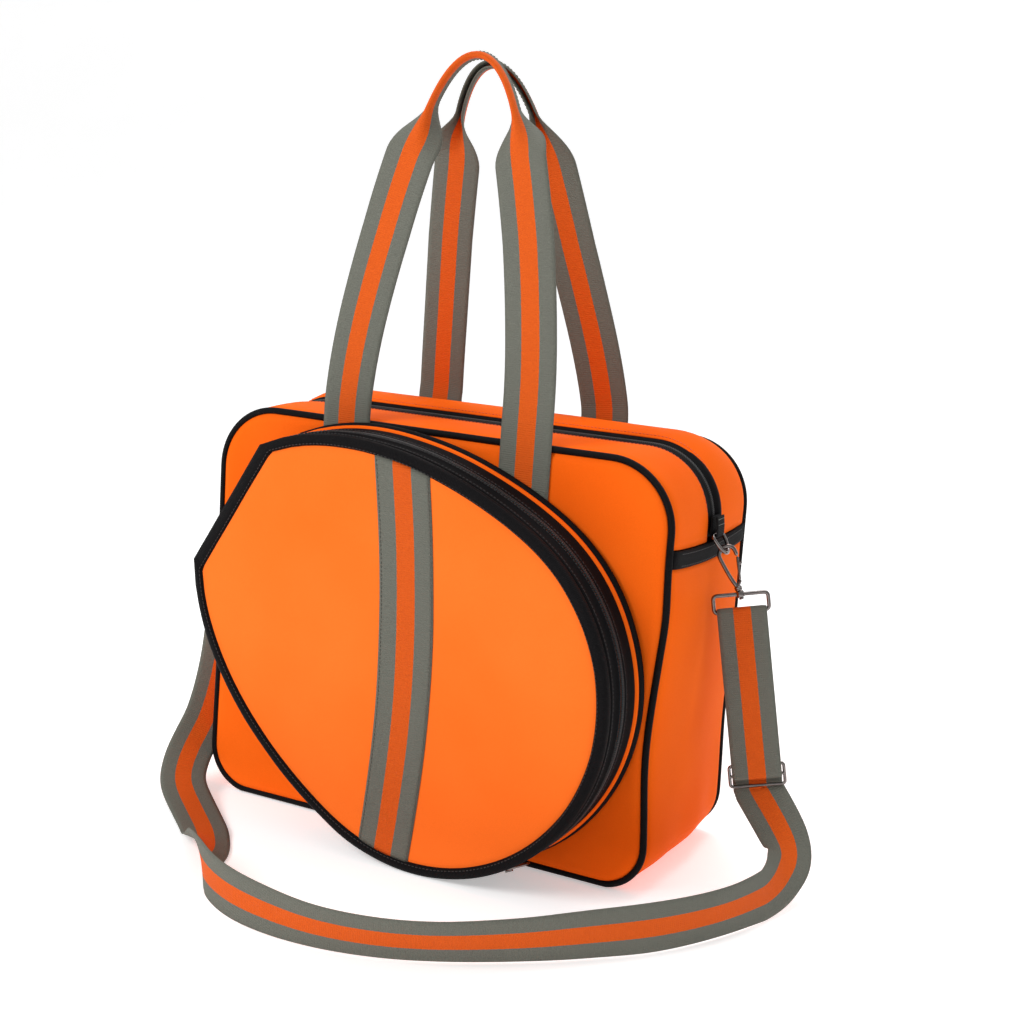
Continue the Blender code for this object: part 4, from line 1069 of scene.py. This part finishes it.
def handle_half(height, grip_half, power):
    """(x, height) from the foot to the top of the grip."""
    base = 0.0006
    neck = height - GRIP_HEIGHT
    leg = [(HANDLE_FOOT - (HANDLE_FOOT - grip_half) * share ** power, base + (neck - base) * share)
           for share in np.linspace(0, 1, 60)]
    half_width = grip_half / cos(GRIP_ARCH)
    half_height = GRIP_HEIGHT / (1 - sin(GRIP_ARCH))
    arch = [(half_width * cos(angle), height - half_height * (1 - sin(angle)))
            for angle in np.linspace(GRIP_ARCH, pi / 2, 30)[1:]]
    return np.array(leg + arch)


def handle_path(side, shape, seed):
    """Points from one sewn end over the grip to the other, and each one's height above the hinge."""
    height, lean, grip_half, power, foot_shift, grip_shift = shape
    half = handle_half(height, grip_half, power)
    path = resample(np.vstack([half, half[-2::-1] * (-1, 1)]), 0.0042)
    share = np.maximum(path[:, 1] - 0.01, 0) / (height - 0.01)
    sway = foot_shift + (grip_shift - foot_shift) * np.minimum(1, path[:, 1] / 0.15) ** 1.2
    y = side * WEBBING_Y - side * lean * share ** 1.15
    loose = np.clip(share * 4, 0, 1)
    y = y + 0.0012 * ripple(path, 9.0, seed) * loose
    x = path[:, 0] + sway + 0.0010 * ripple(path, 8.0, seed + 30) * loose
    body = np.stack([x, y, HINGE_Z + path[:, 1] * sqrt(1 - (lean / height) ** 2)], axis=1)
    steps = 22
    low = np.linspace(ANCHOR_BOTTOM, HINGE_Z - 0.0012, steps)
    foot = np.stack([np.full(steps, HANDLE_FOOT), np.full(steps, side * WEBBING_Y), low], axis=1)
    points = np.vstack([foot + (foot_shift, 0, 0), body, foot[::-1] * (-1, 1, 1) + (foot_shift, 0, 0)])
    below = np.full(steps, -0.01)
    return points, np.concatenate([below, path[:, 1], below])


def stitch_grip(name, grid, fold, width, grade):
    """A row of stitches on each half of the folded grip."""
    rows = []
    for flap in (-1, 1):
        line, facing = [], []
        for i in np.flatnonzero(grade > 0.98):
            _, _, where = webbing_section(fold[i], width[i])
            k = int(np.argmin(np.abs(where[:13] - flap * 0.0145)))
            spot, inner = grid[i][k], grid[i][len(where) - 1 - k]
            line.append(spot)
            facing.append((spot - inner) / np.linalg.norm(spot - inner))
        rows.append((line, facing))
    stitch_piece(name + "_grip_stitches", rows, GREY_THREAD, name, "webbing")


def stitch_ends(name, side, shift):
    """A box of stitches on each sewn end."""
    rows = []
    y = side * (WEBBING_Y + WEBBING_THICK / 2)
    for x in (shift - HANDLE_FOOT, shift + HANDLE_FOOT):
        edge = HANDLE_WEBBING / 2 - 0.0024
        left, right = x - edge, x + edge
        for x1, z1, x2, z2 in ((left, BOX_TOP, right, BOX_TOP), (left, BOX_LOW, right, BOX_LOW),
                               (left, BOX_LOW, left, BOX_TOP), (right, BOX_LOW, right, BOX_TOP)):
            line = resample([[x1, y, z1], [x2, y, z2]], 0.004)
            rows.append((line, np.tile((0, side, 0), (len(line), 1))))
    stitch_piece(name + "_end_stitches", rows, GREY_THREAD, "bag", "webbing")


def build_handle(name, side, shape, seed):
    """Webbing sewn flat to the panel, then standing, folded lengthwise and turned at the grip."""
    height, shift = shape[0], shape[4]
    points, heights = handle_path(side, shape, seed)
    grade = np.clip((heights - (height - GRIP_HEIGHT - FOLD_LENGTH / 2)) / FOLD_LENGTH, 0, 1)
    grade = grade ** 2 * (3 - 2 * grade)
    fold = radians(86) * grade
    back = np.stack([side * GRIP_TURN * grade, np.full(len(points), -float(side)), 0 * grade], axis=1)
    level = unit(tangents(points) * (1, 0, 1))
    back = unit(back - level * np.sum(back * level, axis=1)[:, None])
    across = np.cross(back, level) * -side
    width = HANDLE_WEBBING * (1 - GRIP_NARROWING * grade)
    grid, weave = ribbon_grid(points, across, fold, width=width, facing=back)
    obj = loft_piece(name + "_webbing", grid, HANDLE_WEB, "bag", "webbing", weave, ride=False,
                     replaces=(name, name + "_end_left", name + "_end_right"))
    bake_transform(obj)
    stitch_grip(name, grid, fold, width, grade)
    stitch_ends(name, side, shift)


# ---------------------------------------------------------------- shoulder strap and its hardware

class Place:
    """A frame on the strap: across its width, down its length, out of its front."""

    def __init__(self, origin, down, across):
        self.origin = Vector(origin)
        self.down = Vector(down).normalized()
        across = Vector(across)
        self.across = (across - self.down * across.dot(self.down)).normalized()
        self.out = self.down.cross(self.across)

    def at(self, across=0.0, down=0.0, out=0.0):
        return np.array(self.origin + self.across * across + self.down * down + self.out * out)


def tilted(angle, side=1):
    """Down, tilted outwards by an angle."""
    return Vector((side * sin(angle), 0, -cos(angle)))


def hook_place(side):
    if side > 0:
        down, across = tilted(radians(24)), (0.94, 0.34, 0)
    else:
        down, across = Vector((-0.25, -0.20, -0.95)).normalized(), (0.90, 0.44, 0)
    end = Vector((side * RING_PIVOT_X, 0, RING_PIVOT_Z)) + tilted(RING_TILT, side) * RING_DROP
    return Place(end - down * (RING_WIRE + HOOK_WIRE + RING_PLAY), down, across)


def loop_place(side):
    hook = hook_place(side)
    top_bar = Vector(hook.at(down=HOOK_LENGTH + BARREL_HEIGHT + BOSS_GAP + BOSS_HEIGHT / 2))
    down = tilted(radians(11)) if side > 0 else Vector((-0.12, -0.28, -0.95))
    down.normalize()
    return Place(top_bar + down * LOOP_HEIGHT, down, hook.across)


def turned(name, place, profile, body, sides=20):
    """A body of revolution on the hook's line; profile is (down, radius) pairs."""
    angles = 2 * pi * np.arange(sides) / sides
    rows = [[place.at(radius * cos(a), down, radius * sin(a)) for a in angles] for down, radius in profile]
    return loft_piece(name, np.array(rows), METAL, body, "gunmetal")


def rounded_loop(place, half, low, high, corner, count, out=0.0):
    """A closed path round a rectangle with round corners, from low to high down the strap."""
    outline = []
    for across, down, start in ((half - corner, high - corner, 0), (half - corner, low + corner, 270),
                                (corner - half, low + corner, 180), (corner - half, high - corner, 90)):
        for a in np.radians(np.linspace(start + 90, start, count)):
            outline.append(place.at(across + corner * cos(a), down + corner * sin(a), out))
    return np.vstack([outline, outline[:1]])


def build_ring(side, word):
    pivot = np.array([side * RING_PIVOT_X, 0, RING_PIVOT_Z])
    down = np.array(tilted(RING_TILT, side))
    flat = [(y, 0.0) for y in (-0.0080, -0.004, 0.0, 0.004, 0.0080)]
    bow = [(RING_HALF * cos(a), RING_DROP * sin(a)) for a in np.radians(np.linspace(8, 172, 40))]
    path = np.array([pivot + np.array([0, y, 0]) + down * drop for y, drop in flat + bow])
    path = resample(np.vstack([path, path[:1]]), 0.0010)[:-1]
    name = f"d_ring_{word}"
    metal_rod(name + "_wire", path, RING_WIRE, name, closed=True, replaces=(name,), hint=(0.3, 0.1, 0.9))


def build_ring_tab(side, word):
    """Webbing that goes round the ring's flat side and is sewn to the band with two rows."""
    pivot = np.array([side * RING_PIVOT_X, 0, RING_PIVOT_Z])
    radius, rise_to = RING_WIRE + 0.0011, 0.0148
    turn = np.radians(np.linspace(180, 360, 14))
    tab = [(-side * radius, 0, rise_to)] + [(side * radius * cos(a), 0, radius * sin(a)) for a in turn]
    tab += [(side * radius, 0, 0.006), (side * radius * 0.55, 0, rise_to)]
    tab = resample(pivot + np.array(tab), 0.0012)
    grid, weave = ribbon_grid(tab, np.tile((0.0, 1.0, 0.0), (len(tab), 1)), width=0.0168, thick=0.0014)
    name = f"ring_tab_{word}"
    loft_piece(name + "_webbing", grid, BINDING, "bag", "binding", weave, replaces=(name,))
    rows = []
    for z in (0.2880, 0.2925):
        x = side * (0.2178 - (z - 0.286) * 0.12)
        line = np.array([(x, y, z) for y in np.linspace(-0.0068, 0.0068, 6)])
        rows.append((line, np.tile((side, 0, 0), (len(line), 1))))
    stitch_piece(name + "_stitches", rows, GREY_THREAD, "bag", "binding", pitch=0.0027, length=0.0019)


def build_hook(side, word):
    """The bent wire, its turned swivel barrel and shank, and the stub that the gate is pinned to."""
    hook, name = hook_place(side), f"hook_{word}"
    w, n = HOOK_HALF, HOOK_LENGTH
    facing = tuple(hook.out)
    bend = [(-0.0006, n + 0.0005), (-0.0012, n - 0.0012), (-0.36 * w, n - 0.0050), (-0.60 * w, 0.66 * n),
            (-0.84 * w, 0.42 * n), (-w, 0.20 * n), (-0.86 * w, 0.0032), (-0.45 * w, 0.0004), (0, 0),
            (0.45 * w, 0.0004), (0.86 * w, 0.0032), (0.98 * w, 0.0080)]
    path = smooth_curve([hook.at(a, d) for a, d in bend], 0.0009)
    parts = [metal_rod("part_a", path, HOOK_WIRE, name, sides=16, hint=facing)]
    neck = BARREL_HEIGHT + BOSS_HEIGHT + 2 * BOSS_GAP
    profile = ((-0.0006, 0.0012), (0, 0.0025), (0.0004, 0.0030), (0.0016, 0.0031), (0.0018, 0.0027),
               (0.0021, 0.0031), (BARREL_HEIGHT - 0.0003, 0.0029), (BARREL_HEIGHT, 0.0024),
               (BARREL_HEIGHT + 0.0001, 0.0012), (neck, 0.0012), (neck + 0.0001, 0.0020),
               (neck + 0.0009, 0.0021), (neck + 0.0014, 0.0012))
    parts.append(turned("part_b", hook, [(n + down, radius) for down, radius in profile], name))
    pin_across, pin_down = gate_pin()
    stub = [hook.at(0.001, n - 0.0006), hook.at(pin_across * 0.55, n - 0.0016),
            hook.at(pin_across * 0.95, pin_down + 0.0019)]
    parts.append(metal_rod("part_c", stub, 0.0011, name, sides=12, hint=facing))
    join_metal(name + "_body", parts, name)


def gate_pin():
    """Where the gate hangs on the hook: across it and down it."""
    return 0.50 * HOOK_HALF, HOOK_LENGTH - 0.0052


def build_gate(side, word):
    """The spring lever, with a thumb knob."""
    hook, name = hook_place(side), f"gate_{word}"
    w, n = HOOK_HALF, HOOK_LENGTH
    facing = tuple(hook.out)
    lever = [gate_pin(), (0.68 * w, 0.66 * n), (0.86 * w, 0.45 * n), (0.98 * w, 0.0112)]
    path = smooth_curve([hook.at(a, d) for a, d in lever], 0.0009)
    parts = [metal_rod("part_a", path, GATE_WIRE, name, hint=facing)]
    knob = [hook.at(a * w, d * n) for a, d in ((0.86, 0.47), (1.05, 0.50), (1.22, 0.47))]
    parts.append(metal_rod("part_b", knob, 0.0010, name, sides=12, hint=facing))
    join_metal(name + "_lever", parts, name)


def build_loop(side, word):
    """The webbing loop and the boss that turns on the hook's shank."""
    hook, loop, name = hook_place(side), loop_place(side), f"strap_loop_{word}"
    path = resample(rounded_loop(loop, LOOP_HALF, -LOOP_HEIGHT, 0.0, LOOP_CORNER, 9), 0.0012)[:-1]
    parts = [metal_rod("part_a", path, LOOP_WIRE, name, sides=16, closed=True, hint=tuple(loop.out))]
    start = HOOK_LENGTH + BARREL_HEIGHT + BOSS_GAP
    profile = ((0.0002, 0.0017), (0, 0.0027), (0.0005, 0.0033), (BOSS_HEIGHT - 0.0005, 0.0034),
               (BOSS_HEIGHT, 0.0028), (BOSS_HEIGHT - 0.0002, 0.0017))
    parts.append(turned("part_b", hook, [(start + down, radius) for down, radius in profile], name))
    join_metal(name + "_bar", parts, name)


def build_adjuster():
    """Three-bar slide with rounded bars."""
    place, name = loop_place(1), "strap_adjuster"
    half = WEBBING / 2 + 0.0008 + ADJUSTER_BAR
    low, high = ADJUSTER_DROP - ADJUSTER_PITCH, ADJUSTER_DROP + ADJUSTER_PITCH
    outline = rounded_loop(place, half, low, high, 0.0022, 7, ADJUSTER_NORMAL)
    facing = tuple(place.out)
    path = resample(outline, 0.0014)[:-1]
    parts = [metal_rod("part_a", path, ADJUSTER_BAR, name, closed=True, hint=facing)]
    bar = [place.at(u, ADJUSTER_DROP, ADJUSTER_NORMAL) for u in (-half, 0, half)]
    parts.append(metal_rod("part_b", bar, ADJUSTER_BAR, name, hint=facing))
    join_metal(name + "_slide_bar", parts, name)


def wrap_points(loop, start, end, steps):
    """Stations of webbing that goes round a loop's bar, from one angle to another in degrees."""
    angles = np.radians(np.linspace(start, end, steps))
    return [(loop.at(0, -WRAP_RADIUS * sin(a), WRAP_RADIUS * cos(a)), loop.across) for a in angles]


def floor_route(control, step):
    """Even stations on a smooth curve, with the webbing's direction, kept off the floor."""
    both = smooth_curve([np.concatenate([np.array(p), np.array(a)]) for p, a in control], step)
    points, across = both[:, :3], both[:, 3:]
    run = tangents(points)
    level = unit(across - run * np.sum(run * across, axis=1)[:, None])
    needed = np.abs(level[:, 2]) * WEBBING / 2 + WEBBING_THICK / 2 + FLOOR_GAP
    points[:, 2] = np.maximum(points[:, 2], needed)
    return points, across


def smooth_rows(rows, low, high, times):
    """Each row a mean of itself and its neighbours, several times over, between low and high."""
    for _ in range(times):
        rows[low:high] = (rows[low - 1:high - 1] + 2 * rows[low:high] + rows[low + 1:high + 1]) / 4


def build_strap():
    """The strap from its sewn end at the left loop to the right loop, and the layer back to the adjuster."""
    left, right = loop_place(-1), loop_place(1)
    start = [(left.at(0, SEWN_TAIL * (1 - t), WRAP_RADIUS), left.across) for t in np.linspace(0, 1, 7)]
    start += wrap_points(left, 0, 180, 12)[1:]
    end_down = ADJUSTER_DROP + ADJUSTER_PITCH + 0.004
    first = (left.at(0, SEWN_TAIL, -WRAP_RADIUS), left.across)
    last = (right.at(0, end_down, -WRAP_RADIUS), right.across)
    route, across = floor_route([first] + STRAP_ROUTE + [last], STRAP_STEP)
    straight = [(right.at(0, end_down * (1 - t), -WRAP_RADIUS), right.across)
                for t in np.linspace(0, 1, 24)][1:]
    finish = straight + wrap_points(right, 180, 97, 6)[1:]
    points = np.vstack([[p for p, _ in start], route, [p for p, _ in finish]])
    sides = np.vstack([[tuple(a) for _, a in start], across, [tuple(a) for _, a in finish]])
    low, high = len(start) + 2, len(start) + len(route) - 3
    smooth_rows(sides, low, high, 30)
    grid, weave = ribbon_grid(points, unit(sides))
    smooth_rows(grid, low, high, 34)
    strap = loft_piece("shoulder_strap_webbing", grid, WEB, "bag", "webbing", weave,
                       replaces=("shoulder_strap",))
    turn = [right.at(0, ADJUSTER_DROP + BAR_WRAP * sin(a), ADJUSTER_NORMAL + BAR_WRAP * cos(a))
            for a in np.radians(np.linspace(0, 180, 11))]
    over = right.at(0, ADJUSTER_DROP - ADJUSTER_PITCH - 2 * ADJUSTER_BAR, ADJUSTER_NORMAL + BAR_WRAP)
    first = [p for p, _ in wrap_points(right, 83, 0, 6)]
    span = [first[-1] + (over - first[-1]) * t for t in np.linspace(0, 1, 22)][1:]
    tail = right.at(0, ADJUSTER_DROP - RETURN_TAIL, ADJUSTER_NORMAL - BAR_WRAP)
    path = np.array(first + span + turn + [tail])
    grid, weave = ribbon_grid(path, np.tile(tuple(right.across), (len(path), 1)))
    layer = loft_piece("strap_return_webbing", grid, WEB, "bag", "webbing", weave, replaces=("strap_return",))
    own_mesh(layer)

    rows = []
    for down in (0.006, 0.021):
        line = np.array([left.at(u, down, WRAP_RADIUS + WEBBING_THICK / 2)
                         for u in np.linspace(-0.0165, 0.0165, 9)])
        rows.append((line, np.tile(tuple(left.out), (len(line), 1))))
    stitch_piece("strap_tail_stitches", rows, GREY_THREAD, "bag", "webbing")


# ---------------------------------------------------------------- stage

def build_floor():
    """A pale floor that sweeps up behind the bag."""
    sweep = [(-6.0, -0.0004), (4.0, -0.0004)]
    sweep += [(4.0 + 3.0 * sin(a), 3.0 - 3.0004 * cos(a)) for a in np.radians(np.linspace(6, 90, 15))]
    sweep.append((7.0, 9.0))
    points = [(x, y, z) for y, z in sweep for x in (-12.0, 12.0)]
    mesh = bpy.data.meshes.new("studio_sweep")
    mesh.from_pydata(points, [], grid_faces(len(sweep), 2))
    mesh.polygons.foreach_set("use_smooth", [True] * len(mesh.polygons))
    mesh.materials.append(make_floor())
    floor = bpy.data.objects.new("studio_sweep", mesh)
    bpy.context.scene.collection.objects.link(floor)


def area_light(name, place, target, size, power):
    light = bpy.data.lights.new(name, "AREA")
    light.shape = "DISK"
    light.size = size
    light.energy = power
    obj = bpy.data.objects.new(name, light)
    obj.location = place
    obj.rotation_mode = "QUATERNION"
    obj.rotation_quaternion = (Vector(target) - Vector(place)).to_track_quat("-Z", "Y")
    bpy.context.scene.collection.objects.link(obj)


def build_lights():
    world = bpy.data.worlds.new("studio")
    bpy.context.scene.world = world
    world.use_nodes = True
    background = world.node_tree.nodes["Background"]
    background.inputs["Color"].default_value = (1.0, 1.0, 1.0, 1.0)
    background.inputs["Strength"].default_value = 0.52

    area_light("key", (-0.9, -1.7, 1.5), (0, 0, 0.2), 1.1, 27)
    area_light("top", (0.1, 0.5, 2.0), (0, 0, 0.3), 1.2, 18)


def build_camera():
    yaw, pitch, roll = 0.462, 0.185, 0.067
    forward = Vector((-sin(yaw) * cos(pitch), cos(yaw) * cos(pitch), -sin(pitch)))
    level = Vector((cos(yaw), sin(yaw), 0))
    upright = level.cross(forward)
    right = level * cos(roll) + upright * sin(roll)
    up = -level * sin(roll) + upright * cos(roll)
    camera = bpy.data.objects.new("camera", bpy.data.cameras.new("camera"))
    camera.data.sensor_width = 36.0
    camera.data.lens = 57.34
    camera.data.clip_start, camera.data.clip_end = 0.01, 50
    turn = Matrix((right, up, -forward)).transposed()
    camera.matrix_world = Matrix.Translation((0.636, -1.214, 0.525)) @ turn.to_4x4()
    bpy.context.scene.collection.objects.link(camera)
    bpy.context.scene.camera = camera
    bpy.context.scene.view_settings.view_transform = "Standard"


# ---------------------------------------------------------------- the whole case

build_floor()
build_lights()
build_camera()
build_strap()
for side, word in ((1, "right"), (-1, "left")):
    for build in (build_ring, build_ring_tab, build_hook, build_gate, build_loop):
        build(side, word)
build_adjuster()
build_panel("front_panel", -1)
build_panel("rear_panel", 1)
build_lower_gusset()
build_top_gusset("top_gusset_front", -1)
build_top_gusset("top_gusset_rear", 1)
build_band("side_band_right", 1)
build_band("side_band_left", -1)
build_piping("front_piping", -1)
build_piping("rear_piping", 1)
build_main_zip()
build_face()
build_stripe()
build_pocket_binding()
build_pocket_walls()
build_handle("front_handle", -1, FRONT_HANDLE, 5.0)
build_handle("rear_handle", 1, REAR_HANDLE, 8.0)

for node in ("main_zip_slider", "main_zip_puller", "pocket_zip_slider", "pocket_zip_puller"):
    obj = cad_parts[node]
    obj.data.materials.clear()
    obj.data.materials.append(METAL)
